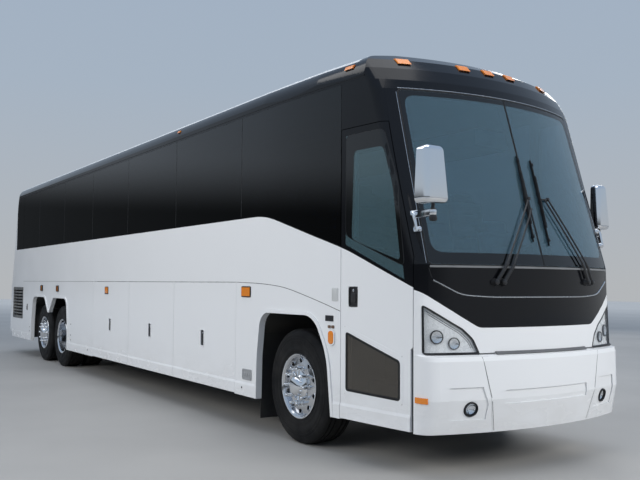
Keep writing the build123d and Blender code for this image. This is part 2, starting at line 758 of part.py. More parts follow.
# Radiator grilles: slats in a frame, one on each side at the rear
SLATS = 9
with BuildPart() as radiator_grilles:
    x0, x1, z0, z1 = GRILLE
    panel = rectangle(x0 + SEAT, x1 - SEAT, z0 + SEAT, z1 - SEAT)
    pitch = (z1 - z0 - 60) / SLATS
    slots = []
    for k in range(SLATS):
        slots.append(rectangle(x0 + 30, x1 - 30, z0 + 45 + k * pitch, z0 + 30 + (k + 0.75) * pitch))
    for side in (-1, 1):
        add(cut_from(shell, [side_prism(panel, side)], [side_prism(slot, side) for slot in slots]))
save(radiator_grilles, "radiator_grilles")

# Marker lamps that stand a little proud of the skin: x, height, length, depth in z
side_markers = [
    (NOSE - 279, 602, 110, 44),
    (NOSE - 1350, 1025, 60, 110),
    (NOSE - 2865, 1405, 180, 90),
    (NOSE - 10000, 1375, 90, 90),
    (NOSE - 11100, 1375, 90, 90),
    (NOSE - 1160, 3376, 110, 34),
    (NOSE - 4719, 3362, 60, 26),
]
brow_lamps = [-870, -290, 0, 290, 870]
with BuildPart() as marker_lamps:
    for x, z, long, deep in side_markers:
        add(side_prism(rectangle(x - long / 2, x + long / 2, z - deep / 2, z + deep / 2), 0))
    for y in brow_lamps:
        add(front_prism(rectangle(y - 55, y + 55, 3385, 3440)))
        add(rear_prism(rectangle(y - 55, y + 55, 3385, 3440)))
    add(proud_form, mode=Mode.INTERSECT)
    add(near_form, mode=Mode.SUBTRACT)
save(marker_lamps, "marker_lamps")

# Mirrors: heads on short arms, the door side one set forward to be seen through the windshield
MIRROR_Y = HALF + 5
MIRROR_HALF = 105
MIRROR_HEIGHT = 440
MIRROR_DEPTH = 110
MIRROR_ROUND = 36
mirror_heads = [(-1, NOSE + MIRROR_REACH - MIRROR_DEPTH / 2, 2305), (1, NOSE - 503, 2250)]
ARM_RADIUS = 16
ARM_DROP = 60
with BuildPart() as mirrors:
    for side, x, z in mirror_heads:
        y = side * MIRROR_Y
        low = z - MIRROR_HEIGHT / 2
        with BuildPart(mode=Mode.PRIVATE) as head:
            with BuildSketch(Plane.XY.offset(low)):
                with Locations((x, y)):
                    RectangleRounded(MIRROR_DEPTH, 2 * MIRROR_HALF, 45)
            extrude(amount=MIRROR_HEIGHT)
            levels = head.edges().group_by(Axis.Z)
            fillet(levels[0] + levels[-1], radius=MIRROR_ROUND)
        add(head.part)
        arm_z = low - ARM_DROP
        root = (pillar_x(arm_z) - 20, side * (HALF - 204), arm_z)
        with BuildLine() as arm_line:
            FilletPolyline(root, (x - 10, y, arm_z), (x - 10, y, low + 20), radius=30)
        with BuildSketch(Plane(arm_line.line @ 0, z_dir=arm_line.line % 0)):
            Circle(ARM_RADIUS)
        sweep(path=arm_line.line)
    add(outer_form, mode=Mode.SUBTRACT)
save(mirrors, "mirrors")

# Wipers: two arms side by side from the pivots under each pane, a bracket, and the blade it carries
# Y and height of both ends, and half the width, of every strip
wiper_strips = [
    (-529, 1514, -30, 2212, 11),
    (-459, 1514, -22, 2126, 7),
    (-74, 1847, -22, 2602, 10),
    (663, 1521, 219, 2222, 11),
    (593, 1521, 172, 2219, 7),
    (219, 2222, 127, 2215, 12),
    (110, 1822, 142, 2577, 10),
]
wiper_pivots = [(-529, 1514), (-459, 1514), (663, 1521), (593, 1521)]
PIVOT_RADIUS = 32
with BuildPart() as wipers:
    for y0, z0, y1, z1, half in wiper_strips:
        along = unit((y0, z0), (y1, z1))
        across = (-along[1] * half, along[0] * half)
        strip = [
            (y0 + across[0], z0 + across[1]),
            (y1 + across[0], z1 + across[1]),
            (y1 - across[0], z1 - across[1]),
            (y0 - across[0], z0 - across[1]),
        ]
        add(front_prism(strip))
    with BuildSketch(Plane.YZ.offset(NOSE - 2500)):
        with Locations(*wiper_pivots):
            Circle(PIVOT_RADIUS)
    extrude(amount=3000)
    add(proud_form, mode=Mode.INTERSECT)
    add(near_form, mode=Mode.SUBTRACT)
save(wipers, "wipers")

# Floors: the deck over the luggage bays and the lower platform for the driver
bay_gap_y = HALF - WALL - CLEAR
bay_doors_x = (BAY_SEAMS[0] - CLEAR, BAY_SEAMS[-1] + CLEAR)
deck_holes = [box(bay_doors_x, (side * bay_gap_y, side * FAR), (0, SEAM_Z)) for side in (-1, 1)]
deck_holes.append(box((TAIL, TAIL + 200), (-FAR, FAR), (0, FLOOR_TOP + 10)))
with BuildPart() as passenger_floor:
    deck = box((TAIL, FLOOR_FRONT_X), (-FAR, FAR), (FLOOR_TOP - FLOOR_THICK, FLOOR_TOP))
    add(cut_from(room_form, [deck], deck_holes))
    low = PLATFORM_TOP - FLOOR_THICK
    platform = box((FLOOR_FRONT_X - SHEET, AHEAD), (-STEPS_INNER_Y, FAR), (low, PLATFORM_TOP))
    add(cut_from(room_form, [platform]))
    riser = box((FLOOR_FRONT_X - SHEET, FLOOR_FRONT_X), (-STEPS_INNER_Y, FAR), (low, FLOOR_TOP))
    add(cut_from(room_form, [riser]))
save(passenger_floor, "passenger_floor")

# Entry steps, climbing inwards from the door
STEP_TOPS = [400, 640, 885, 1130]
STEP_DEPTH = 180
STEP_FRONT_X = PILLAR_LOW_X - 70
door_inner_y = side_y(STEP_FRONT_X) - WALL - CLEAR - 4
with BuildPart() as entry_steps:
    for number, top in enumerate(STEP_TOPS):
        outer = -door_inner_y + number * STEP_DEPTH
        add(box((FLOOR_FRONT_X + SEAT, STEP_FRONT_X), (outer, -STEPS_INNER_Y - SEAT), (SKIRT_Z + 20, top)))
save(entry_steps, "entry_steps")

# Underframe: bay floor and bulkheads, and the rails that carry the axles
bay_floor_x = (DRIVE_AXLE_X + ARCH_HALF + 90, FRONT_AXLE_X - ARCH_HALF - 110)
RAIL_FRONT_X = NOSE - 260
RAIL_REAR_X = TAIL + 250
TOW_LUG = 30
TOW_LUG_Z = (RAIL_LOW + RAIL_HIGH) / 2
TOW_EYE_RADIUS = 22
JACK_PAD_X = [FRONT_AXLE_X + 350, DRIVE_AXLE_X + 560]
JACK_PAD = 20
bulkheads = [bay_floor_x[0] + SHEET / 2, *BAY_SEAMS, bay_floor_x[1] - SHEET / 2]
bay_half = bay_gap_y
with BuildPart() as underframe:
    add(box(bay_floor_x, (-bay_half, bay_half), (BAY_FLOOR_Z, BAY_FLOOR_Z + SHEET)))
    under_deck = FLOOR_TOP - FLOOR_THICK
    for x in bulkheads:
        add(box((x - SHEET / 2, x + SHEET / 2), (-bay_half, bay_half), (BAY_FLOOR_Z, under_deck)))
    for side in (-1, 1):
        rail = (side * (RAIL_Y - RAIL_WIDTH / 2), side * (RAIL_Y + RAIL_WIDTH / 2))
        add(box((RAIL_REAR_X, bay_floor_x[0]), rail, (RAIL_LOW, RAIL_HIGH)))
        add(box((bay_floor_x[1], RAIL_FRONT_X), rail, (RAIL_LOW, RAIL_HIGH)))
        for x in (TAIL + 300, TAG_AXLE_X, DRIVE_AXLE_X):
            add(box((x - 40, x + 40), rail, (RAIL_HIGH, under_deck)))
        add(box((FRONT_AXLE_X - 40, FRONT_AXLE_X + 40), rail, (RAIL_HIGH, under_deck)))
    for x in (RAIL_REAR_X + 40, RAIL_FRONT_X - 40):
        add(box((x - 40, x + 40), (-RAIL_Y, RAIL_Y), (RAIL_LOW, RAIL_HIGH)))
    for start, outward in ((RAIL_REAR_X, -1), (RAIL_FRONT_X, 1)):
        for y in (-RAIL_Y, RAIL_Y):
            lug = (TOW_LUG_Z - TOW_LUG / 2, TOW_LUG_Z + TOW_LUG / 2)
            add(box((start, start + outward * 90), (y - RAIL_WIDTH / 2, y + RAIL_WIDTH / 2), lug))
            eye = post(start + outward * 45, y, lug[0] - 1, lug[1] + 1, TOW_EYE_RADIUS)
            add(eye, mode=Mode.SUBTRACT)
    for x in JACK_PAD_X:
        for y in (-RAIL_Y, RAIL_Y):
            add(box((x - 60, x + 60), (y - 50, y + 50), (RAIL_LOW - JACK_PAD, RAIL_LOW)))
save(underframe, "underframe")
with BuildPart() as engine_block:
    inner = RAIL_Y - RAIL_WIDTH / 2
    add(box((TAIL + 480, TAG_AXLE_X - 750), (-inner, inner), (RAIL_LOW - 200, 1280)))
save(engine_block, "engine_block")

# Wheel arch liners with the flaps that hang behind the front wheels
LINER_RADIUS = TYRE_RADIUS + 145
LINER = 6
LINER_INNER_Y = 470
LINER_LOW = 400


def liner_strip(x0, x1, crown, thickness):
    """Outline of an arched strip from x0 to x1, seen from the side."""
    shoulder = 260
    outer = [(x0, LINER_LOW), (x0, crown - shoulder), (x0 + shoulder, crown), (x1 - shoulder, crown)]
    outer += [(x1, crown - shoulder), (x1, LINER_LOW)]
    inner = [(x1 - thickness, LINER_LOW), (x1 - thickness, crown - shoulder - 2)]
    inner += [(x1 - shoulder - 2, crown - thickness), (x0 + shoulder + 2, crown - thickness)]
    inner += [(x0 + thickness, crown - shoulder - 2), (x0 + thickness, LINER_LOW)]
    return outer + inner


with BuildPart() as wheel_arch_liners:
    front = (FRONT_AXLE_X - LINER_RADIUS, FRONT_AXLE_X + LINER_RADIUS)
    rear = (TAG_AXLE_X - LINER_RADIUS, DRIVE_AXLE_X + LINER_RADIUS)
    for side in (-1, 1):
        for x0, x1 in (front, rear):
            strip = side_prism(liner_strip(x0, x1, ARCH_TOP_Z + 50, LINER), side)
            keep = box((x0, x1), (side * LINER_INNER_Y, side * FAR), (0, 1400))
            add(cut_from(room_form, [strip, keep]))
        add(box((front[0] - 6, front[0]), (side * 890, side * 1230), (140, LINER_LOW + 150)))
save(wheel_arch_liners, "wheel_arch_liners")


# Inside, as seen through the glass
DASH_X = (NOSE - 640, NOSE - 130)
dash_outline = [
    (DASH_X[0], PLATFORM_TOP),
    (DASH_X[1], PLATFORM_TOP),
    (DASH_X[1], 1560),
    (DASH_X[1] - 240, 1600),
    (DASH_X[0] + 60, 1520),
    (DASH_X[0], 1400),
]
DRIVER_Y = 620
WHEEL_AT = (NOSE - 760, DRIVER_Y, 1700)
WHEEL_TILT = 55
STEERING_WHEEL_RADIUS = 230
with BuildPart() as dashboard:
    dash = cut_from(room_form, [side_prism(dash_outline, 0), box(DASH_X, (-STEPS_INNER_Y, FAR), (0, 2000))])
    add(dash)
    tilt = math.radians(WHEEL_TILT)
    wheel_plane = Plane(WHEEL_AT, z_dir=(-math.sin(tilt), 0, math.cos(tilt)))
    with BuildSketch(wheel_plane):
        Circle(40)
        Rectangle(2 * STEERING_WHEEL_RADIUS, 40)
    extrude(amount=20)
    with BuildSketch(wheel_plane):
        Circle(STEERING_WHEEL_RADIUS)
        Circle(STEERING_WHEEL_RADIUS - 30, mode=Mode.SUBTRACT)
    extrude(amount=28)
    with BuildSketch(wheel_plane):
        Circle(35)
    extrude(amount=-330)
save(dashboard, "dashboard")


def seat_outline(x, floor, height, depth, back):
    """Side view of a seat that faces forward: pedestal, cushion and a leaning back."""
    return [
        (x, floor),
        (x + depth - 60, floor),
        (x + depth - 60, floor + height - 130),
        (x + depth, floor + height - 130),
        (x + depth, floor + height),
        (x + 110, floor + height - 20),
        (x - 40, floor + height + back),
        (x - 150, floor + height + back),
        (x, floor + height - 130),
    ]


def seat(x, y0, y1, floor, height, depth, back):
    with BuildPart(mode=Mode.PRIVATE) as solid:
        with BuildSketch(Plane.XZ.offset(-y1)):
            with BuildLine():
                Polyline(*seat_outline(x, floor, height, depth, back), close=True)
            make_face()
        extrude(amount=y1 - y0)
    return solid.part


with BuildPart() as driver_seat:
    add(seat(NOSE - 1160, DRIVER_Y - 240, DRIVER_Y + 240, PLATFORM_TOP, 480, 460, 700))
save(driver_seat, "driver_seat")
SEAT_ROWS = 13
SEAT_PITCH = 820
AISLE_HALF = 190
with BuildPart() as passenger_seats:
    seats = []
    for row in range(SEAT_ROWS):
        x = FLOOR_FRONT_X - 720 - row * SEAT_PITCH
        for side in (-1, 1):
            low, high = sorted((side * AISLE_HALF, side * (HALF - WALL - 40)))
            seats.append(seat(x, low, high, FLOOR_TOP, 450, 440, 680))
    add(seats)
save(passenger_seats, "passenger_seats")
RACK_LOW = 2900
with BuildPart() as luggage_racks:
    for side in (-1, 1):
        outline = [(side * 720, 2960), (side * 720, 3130), (side * FAR, 3130), (side * FAR, RACK_LOW)]
        run = prism(Plane.YZ.offset(CAP_REAR_X + 150), outline, FLOOR_FRONT_X - CAP_REAR_X - 500)
        add(cut_from(room_form, [run]))
save(luggage_racks, "luggage_racks")

# Air springs between the axles and the rails
SPRING_RADIUS = 105
BEAM_TOP = 500
PAD_TOP = 600
SPRING_OFFSET = 350
spring_places = [(FRONT_AXLE_X, BEAM_TOP)]
for axle in (DRIVE_AXLE_X, TAG_AXLE_X):
    spring_places += [(axle - SPRING_OFFSET, PAD_TOP), (axle + SPRING_OFFSET, PAD_TOP)]
with BuildPart() as air_springs:
    for x, low in spring_places:
        for side in (-1, 1):
            middle = (low + RAIL_LOW) / 2
            with BuildSketch(Plane.XZ):
                with BuildLine():
                    Polyline(
                        (0, low),
                        (SPRING_RADIUS * 0.8, low),
                        (SPRING_RADIUS, low + 25),
                        (SPRING_RADIUS * 0.85, middle),
                        (SPRING_RADIUS, RAIL_LOW - 25),
                        (SPRING_RADIUS * 0.8, RAIL_LOW),
                        (0, RAIL_LOW),
                        close=True,
                    )
                make_face()
            add(revolve(axis=Axis.Z, mode=Mode.PRIVATE).moved(Location((x, side * RAIL_Y, 0))))
save(air_springs, "air_springs")

# Front axle: a dropped beam with an eye at each end for the kingpins
BEAM_HALF = 50
EYE_HIGH = 580
EYE_LOW = 490
beam_half_outline = [(620, 400), (KINGPIN_Y - 80, EYE_LOW), (KINGPIN_Y, EYE_LOW), (KINGPIN_Y, EYE_HIGH)]
beam_half_outline += [(KINGPIN_Y - 100, EYE_HIGH), (600, BEAM_TOP)]


with BuildPart() as front_axle:
    outline = beam_half_outline + [(-y, z) for y, z in reversed(beam_half_outline)]
    add(prism(Plane.YZ.offset(FRONT_AXLE_X - BEAM_HALF), outline, 2 * BEAM_HALF))
    for side in (-1, 1):
        add(post(FRONT_AXLE_X, side * KINGPIN_Y, EYE_LOW, EYE_HIGH, 60))
        kingpin_bore = post(FRONT_AXLE_X, side * KINGPIN_Y, 0, TYRE_RADIUS * 2, KINGPIN_RADIUS + HUB_FIT)
        add(kingpin_bore, mode=Mode.SUBTRACT)
save(front_axle, "front_axle")

# Knuckles: a fork round the axle eye, the kingpin, the spindle and the steering arm
LUG_GAP = 6
TIE_ROD_X = FRONT_AXLE_X - TIE_ROD_BACK
SPINDLE_END_Y = TYRE_Y + 47
for side, name in ((-1, "right_knuckle"), (1, "left_knuckle")):
    pin_y = side * KINGPIN_Y
    web = (side * (KINGPIN_Y + 80), side * (KINGPIN_Y + 110))
    with BuildPart() as knuckle:
        lug_low = EYE_LOW - LUG_GAP
        lug_high = EYE_HIGH + LUG_GAP
        for z0, z1 in ((lug_low - 40, lug_low), (lug_high, lug_high + 40)):
            add(post(FRONT_AXLE_X, pin_y, z0, z1, 50))
            add(box((FRONT_AXLE_X - 45, FRONT_AXLE_X + 45), (pin_y, web[1]), (z0, z1)))
        add(box((FRONT_AXLE_X - 60, FRONT_AXLE_X + 60), web, (lug_low - 40, lug_high + 40)))
        add(post(FRONT_AXLE_X, pin_y, lug_low - 60, lug_high + 60, KINGPIN_RADIUS))
        add(shaft(FRONT_AXLE_X, web[0], side * SPINDLE_END_Y, TYRE_RADIUS, SPINDLE_RADIUS))
        arm = (lug_low - 40, lug_low - 12)
        add(box((TIE_ROD_X, FRONT_AXLE_X), (pin_y - 22, pin_y + 22), arm))
        add(post(TIE_ROD_X, pin_y, arm[0], arm[1], 30))
        add(post(TIE_ROD_X, pin_y, TIE_ROD_Z - 30, arm[1], TIE_PIN_RADIUS))
    save(knuckle, name)
with BuildPart() as tie_rod:
    add(shaft(TIE_ROD_X, -KINGPIN_Y, KINGPIN_Y, TIE_ROD_Z, 20))
    for side in (-1, 1):
        add(post(TIE_ROD_X, side * KINGPIN_Y, TIE_ROD_Z - 22, TIE_ROD_Z + 22, 30))
        add(post(TIE_ROD_X, side * KINGPIN_Y, 0, TYRE_RADIUS, TIE_PIN_RADIUS + HUB_FIT), mode=Mode.SUBTRACT)
save(tie_rod, "tie_rod")

# Rear axles: a tube or housing with a spindle at each end and a beam under each rail
BEAM_REACH = 430
rear_axles = [
    ("drive_axle", DRIVE_AXLE_X, 75, HALF - 755, 55, HALF - 295, 205),
    ("tag_axle", TAG_AXLE_X, 60, HALF - 355, SPINDLE_RADIUS, SPINDLE_END_Y, 0),
]
for name, axle_x, tube_radius, tube_y, spindle_radius, spindle_y, bowl_radius in rear_axles:
    with BuildPart() as axle:
        add(shaft(axle_x, -tube_y, tube_y, TYRE_RADIUS, tube_radius))
        add(shaft(axle_x, -spindle_y, spindle_y, TYRE_RADIUS, spindle_radius))
        if bowl_radius:
            with Locations((axle_x, 0, TYRE_RADIUS)):
                Sphere(bowl_radius)
        for side in (-1, 1):
            beam_y = (side * (RAIL_Y - 35), side * (RAIL_Y + 35))
            add(box((axle_x - BEAM_REACH, axle_x + BEAM_REACH), beam_y, (PAD_TOP - 50, PAD_TOP)))
            add(box((axle_x - 90, axle_x + 90), beam_y, (TYRE_RADIUS - 90, PAD_TOP)))
    save(axle, name)

# Wheels. A tyre and a rim are turned about the axle; s runs outwards along it from the tyre's middle
BEAD = 133
tyre_outline = [
    (-BEAD, RIM_RADIUS + SEAT),
    (BEAD, RIM_RADIUS + SEAT),
    (BEAD + 2, RIM_RADIUS + 26),
    (TYRE_WIDTH / 2, RIM_RADIUS + 120),
    (TYRE_WIDTH / 2 - 14, TYRE_RADIUS - 28),
    (TYRE_WIDTH / 2 - 42, TYRE_RADIUS),
]
tyre_outline += [(-s, r) for s, r in reversed(tyre_outline[2:])]
BARREL = [(-148, 304), (-134.5, 304), (-134.5, RIM_RADIUS), (134.5, RIM_RADIUS), (134.5, 304), (148, 304)]
BARREL += [(148, 286), (136, 272), (-136, 272), (-148, 286)]
single_disc = [(95, 275), (111, 275), (128, 200), (130, 130), (114, 130), (112, 196)]
single_bore = SPINDLE_RADIUS + HUB_FIT
single_hub = [(-70, single_bore), (-70, 118), (128, 135), (134, 135), (140, 95), (185, 85), (192, 60)]
single_hub += [(192, 0), (60, 0), (60, single_bore)]
TWIN = TWIN_SPACING
DRIVE_SPINDLE = 55
twin_disc = [(-TWIN + 60, 275), (-TWIN + 76, 275), (-190, 200), (-160, 200), (-60, 275), (-44, 275)]
twin_disc += [(-148, 185), (-150, 125), (-200, 125), (-202, 185)]
twin_bore = DRIVE_SPINDLE + HUB_FIT
twin_hub = [(-TWIN - 100, twin_bore), (-TWIN - 100, 120), (-150, 130), (-100, 125), (40, 105), (48, 60)]
twin_hub += [(48, 0), (-40, 0), (-40, twin_bore)]
HAND_HOLES = 10
HAND_HOLE_PITCH = 236
HAND_HOLE_RADIUS = 22


def turned(outlines, x, y, side):
    """Solid turned about a wheel's axis; each outline is in s and radius."""
    with BuildPart(mode=Mode.PRIVATE) as solid:
        for outline in outlines:
            with BuildSketch(Plane.XY):
                with BuildLine():
                    Polyline(*[(r, side * s) for s, r in outline], close=True)
                make_face()
            revolve(axis=Axis.Y)
    return solid.part.moved(Location((x, y, TYRE_RADIUS)))


wheels = [
    ("front_right", FRONT_AXLE_X, -1, False),
    ("front_left", FRONT_AXLE_X, 1, False),
    ("drive_right", DRIVE_AXLE_X, -1, True),
    ("drive_left", DRIVE_AXLE_X, 1, True),
    ("tag_right", TAG_AXLE_X, -1, False),
    ("tag_left", TAG_AXLE_X, 1, False),
]
for name, x, side, twin in wheels:
    y = side * TYRE_Y
    inner = [(s - TWIN, r) for s, r in tyre_outline]
    inner_barrel = [(s - TWIN, r) for s, r in BARREL]
    with BuildPart() as tyre:
        add(turned([tyre_outline], x, y, side))
        if twin:
            add(turned([inner], x, y, side))
    save(tyre, f"{name}_tyre")
    outlines = [BARREL, inner_barrel, twin_disc, twin_hub] if twin else [BARREL, single_disc, single_hub]
    with BuildPart() as rim:
        add(turned(outlines, x, y, side))
        for hole in range(HAND_HOLES):
            turn = 2 * math.pi * (hole + 0.5) / HAND_HOLES
            at = (x + HAND_HOLE_PITCH * math.cos(turn), TYRE_RADIUS + HAND_HOLE_PITCH * math.sin(turn))
            reach = (y - side * 400, y - side * 20) if twin else (y + side * 60, y + side * 200)
            bore = shaft(at[0], reach[0], reach[1], at[1], HAND_HOLE_RADIUS)
            add(bore, mode=Mode.SUBTRACT)
    save(rim, f"{name}_rim")
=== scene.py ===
import math

import bmesh
import bpy
from mathutils import Matrix, Vector
from mathutils.bvhtree import BVHTree


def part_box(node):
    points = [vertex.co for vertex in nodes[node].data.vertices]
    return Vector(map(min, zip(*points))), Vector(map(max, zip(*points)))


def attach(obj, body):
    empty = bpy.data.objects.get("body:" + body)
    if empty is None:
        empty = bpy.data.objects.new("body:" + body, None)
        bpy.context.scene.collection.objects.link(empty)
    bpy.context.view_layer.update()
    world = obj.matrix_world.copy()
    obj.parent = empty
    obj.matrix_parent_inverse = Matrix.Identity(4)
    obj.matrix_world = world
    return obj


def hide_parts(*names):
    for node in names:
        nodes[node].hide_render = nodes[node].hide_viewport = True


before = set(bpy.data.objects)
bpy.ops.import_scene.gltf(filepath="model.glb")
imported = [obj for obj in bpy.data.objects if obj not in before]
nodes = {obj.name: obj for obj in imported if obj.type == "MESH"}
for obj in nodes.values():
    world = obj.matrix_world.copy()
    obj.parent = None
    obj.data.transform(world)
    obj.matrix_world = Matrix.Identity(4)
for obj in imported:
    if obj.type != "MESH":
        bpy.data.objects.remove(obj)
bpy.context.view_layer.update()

# Camera: the photographer stands at eye height off the coach's right front corner.
# Place, aim, tilt and lens were solved from the photograph with the tyres and the body's width as scale.
CAMERA_AT = (11.3015, -5.163, 1.492)
TURN, RISE, ROLL = (math.radians(angle) for angle in (56.782, 3.155, 0.389))
LENS = 44.66
ahead = Vector((-math.sin(TURN) * math.cos(RISE), math.cos(TURN) * math.cos(RISE), math.sin(RISE)))
level_right = Vector((math.cos(TURN), math.sin(TURN), 0))
straight_up = level_right.cross(ahead)
right = level_right * math.cos(ROLL) + straight_up * math.sin(ROLL)
up = straight_up * math.cos(ROLL) - level_right * math.sin(ROLL)
camera = bpy.data.objects.new("camera", bpy.data.cameras.new("camera"))
camera.data.lens = LENS
camera.data.sensor_width = 36
camera.data.clip_end = 200
camera.matrix_world = Matrix.Translation(CAMERA_AT) @ Matrix((right, up, -ahead)).transposed().to_4x4()
bpy.context.scene.collection.objects.link(camera)
bpy.context.scene.camera = camera
bpy.context.scene.view_settings.view_transform = "Standard"

# Studio: a pale floor, a pale wall of light all round, and soft lamps overhead and to the sides.
# Gloss and glass also mirror a low dark screen far off to the coach's right, as they would trees;
# the far floor glows faintly, so that it meets the wall without a line.
FLOOR_SIZE = 60
FLOOR_COLOUR = (0.35, 0.34, 0.325, 1)
FLOOR_PATCHES = (0.40, 0.39, 0.37, 1)
WALL_COLOUR = (0.50, 0.52, 0.54, 1)
WALL_STRENGTH = 0.9
LAMP_COLOUR = (1, 0.975, 0.94)
SCREEN_COLOUR = (0.045, 0.05, 0.055, 1)
SCREEN_SIDE = (0.12, -0.12)
SCREEN_TOP = (0.16, 0.085)
FAR_FLOOR_GLOW = 0.5
GLOW_FROM, GLOW_FULL = 12, 45
SHARP_FROM = math.radians(38)


def shader_of(name, **sockets):
    """New material; its Principled shader gets these values on its own sockets."""
    material = bpy.data.materials.new(name)
    material.use_nodes = True
    shader = material.node_tree.nodes["Principled BSDF"]
    for key, value in sockets.items():
        shader.inputs[key.replace("_", " ")].default_value = value
    return material


def add_node(material, kind, values=(), **links):
    """Adds a node to a material; values and linked outputs go by the names of its sockets."""
    node = material.node_tree.nodes.new(kind)
    for key, value in dict(values).items():
        node.inputs[key].default_value = value
    for key, source in links.items():
        material.node_tree.links.new(source, node.inputs[key])
    return node


def work_out(material, kind, operation, inputs):
    """Outputs of a node that works on numbers, vectors or other outputs."""
    node = material.node_tree.nodes.new(kind)
    node.operation = operation
    for number, value in enumerate(inputs):
        if isinstance(value, bpy.types.NodeSocket):
            material.node_tree.links.new(value, node.inputs[number])
        else:
            node.inputs[number].default_value = value
    return node.outputs


def maths(material, operation, *inputs):
    return work_out(material, "ShaderNodeMath", operation, inputs)["Value"]


def vector_maths(material, operation, *inputs):
    return work_out(material, "ShaderNodeVectorMath", operation, inputs)


def place_of(material):
    """Outputs for the object coordinates x, y and z."""
    coordinates = add_node(material, "ShaderNodeTexCoord")
    return add_node(material, "ShaderNodeSeparateXYZ", Vector=coordinates.outputs["Object"]).outputs


def grain(material, scale, stretch=(1, 1, 1), detail=3.0):
    """Noise in the object's own coordinates, from 0 to 1."""
    place = add_node(material, "ShaderNodeTexCoord")
    drawn = add_node(material, "ShaderNodeMapping", {"Scale": stretch}, Vector=place.outputs["Object"])
    values = {"Scale": scale, "Detail": detail}
    return add_node(material, "ShaderNodeTexNoise", values, Vector=drawn.outputs["Vector"]).outputs["Fac"]


def bands(material, scale, way, distortion=0.0):
    """Even waves along one way of the object's own coordinates, from 0 to 1."""
    place = add_node(material, "ShaderNodeTexCoord")
    values = {"Scale": scale, "Distortion": distortion}
    waves = add_node(material, "ShaderNodeTexWave", values, Vector=place.outputs["Object"])
    waves.bands_direction = way
    return waves.outputs["Fac"]


def spread(material, source, low, high, start=0.3, end=0.7):
    """A value from 0 to 1 stretched to run between low and high."""
    values = {"From Min": start, "From Max": end, "To Min": low, "To Max": high}
    return add_node(material, "ShaderNodeMapRange", values, Value=source).outputs["Result"]


def set_link(material, socket, source):
    """Feeds an output to a socket of the material's own shader."""
    material.node_tree.links.new(source, material.node_tree.nodes["Principled BSDF"].inputs[socket])


def set_bump(material, source, strength, distance):
    bump = add_node(material, "ShaderNodeBump", {"Strength": strength, "Distance": distance}, Height=source)
    set_link(material, "Normal", bump.outputs["Normal"])


def set_gloss(material, scale, low, high, detail=3.0):
    """Roughness that wanders between two values in patches."""
    set_link(material, "Roughness", spread(material, grain(material, scale, detail=detail), low, high))


def mix_colours(material, share, first, second):
    """Colour between two colours or colour outputs; share is an output from 0 to 1."""
    node = material.node_tree.nodes.new("ShaderNodeMix")
    node.data_type = "RGBA"
    material.node_tree.links.new(share, node.inputs["Factor"])
    for number, colour in ((6, first), (7, second)):
        if isinstance(colour, tuple):
            node.inputs[number].default_value = colour
        else:
            material.node_tree.links.new(colour, node.inputs[number])
    return node.outputs[2]


def set_tone(material, share, first, second):
    """Base colour between two colours or colour outputs."""
    set_link(material, "Base Color", mix_colours(material, share, first, second))


def add_copy(bm, made, *places):
    """Adds a finished bmesh to another at each placing matrix, and frees it."""
    mesh = bpy.data.meshes.new("copied")
    made.to_mesh(mesh)
    made.free()
    for place in places:
        moved = mesh.copy()
        moved.transform(place)
        bm.from_mesh(moved)
        bpy.data.meshes.remove(moved)
    bpy.data.meshes.remove(mesh)


def joined(*parts):
    """One bmesh of several, which are freed."""
    whole = bmesh.new()
    for part in parts:
        add_copy(whole, part, Matrix())
    return whole


def keep(name, made, material, body=None):
    """Turns a bmesh, or several in a list, into a piece of one material, which may ride on a body."""
    bm = joined(*made) if isinstance(made, list) else made
    mesh = bpy.data.meshes.new(name)
    bm.to_mesh(mesh)
    bm.free()
    piece = bpy.data.objects.new(name, mesh)
    bpy.context.scene.collection.objects.link(piece)
    mesh.materials.append(material)
    mesh.shade_smooth()
    mesh.set_sharp_from_angle(angle=SHARP_FROM)
    if body:
        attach(piece, body)
    return piece


floor_finish = shader_of("floor_concrete", Roughness=0.65)
patches = spread(floor_finish, grain(floor_finish, 0.5), 0.0, 1.0)
set_tone(floor_finish, patches, FLOOR_COLOUR, FLOOR_PATCHES)
floor_place = add_node(floor_finish, "ShaderNodeTexCoord").outputs["Object"]
from_middle = vector_maths(floor_finish, "LENGTH", floor_place)["Value"]
glow = spread(floor_finish, from_middle, 0.0, FAR_FLOOR_GLOW, GLOW_FROM, GLOW_FULL)
set_link(floor_finish, "Emission Strength", glow)
floor_finish.node_tree.nodes["Principled BSDF"].inputs["Emission Color"].default_value = WALL_COLOUR
set_bump(floor_finish, grain(floor_finish, 60), 0.15, 0.002)
floor_mesh = bmesh.new()
bmesh.ops.create_grid(floor_mesh, x_segments=8, y_segments=8, size=FLOOR_SIZE)
floor = keep("studio_floor", floor_mesh, floor_finish)

world = bpy.data.worlds.new("studio_wall")
bpy.context.scene.world = world
world.use_nodes = True
direction = add_node(world, "ShaderNodeTexCoord").outputs["Generated"]
heading = add_node(world, "ShaderNodeSeparateXYZ", Vector=direction).outputs
sky = add_node(world, "ShaderNodeValToRGB", Fac=spread(world, heading["Z"], 0.0, 1.0, -1, 1))
for place, colour in ((0.0, (0.42, 0.42, 0.41, 1)), (0.50, WALL_COLOUR), (0.62, (0.42, 0.50, 0.60, 1))):
    stop = sky.color_ramp.elements.new(place)
    stop.color = colour
sky.color_ramp.elements[0].color = (0.36, 0.35, 0.34, 1)
sky.color_ramp.elements[-1].color = (0.30, 0.42, 0.62, 1)
screen = []
for way, (start, end) in (("Y", SCREEN_SIDE), ("Z", SCREEN_TOP)):
    limits = add_node(world, "ShaderNodeMapRange", {"From Min": start, "From Max": end}, Value=heading[way])
    limits.interpolation_type = "SMOOTHSTEP"
    screen.append(limits.outputs["Result"])
seen_straight = add_node(world, "ShaderNodeLightPath").outputs["Is Camera Ray"]
not_straight = maths(world, "LESS_THAN", seen_straight, 0.5)
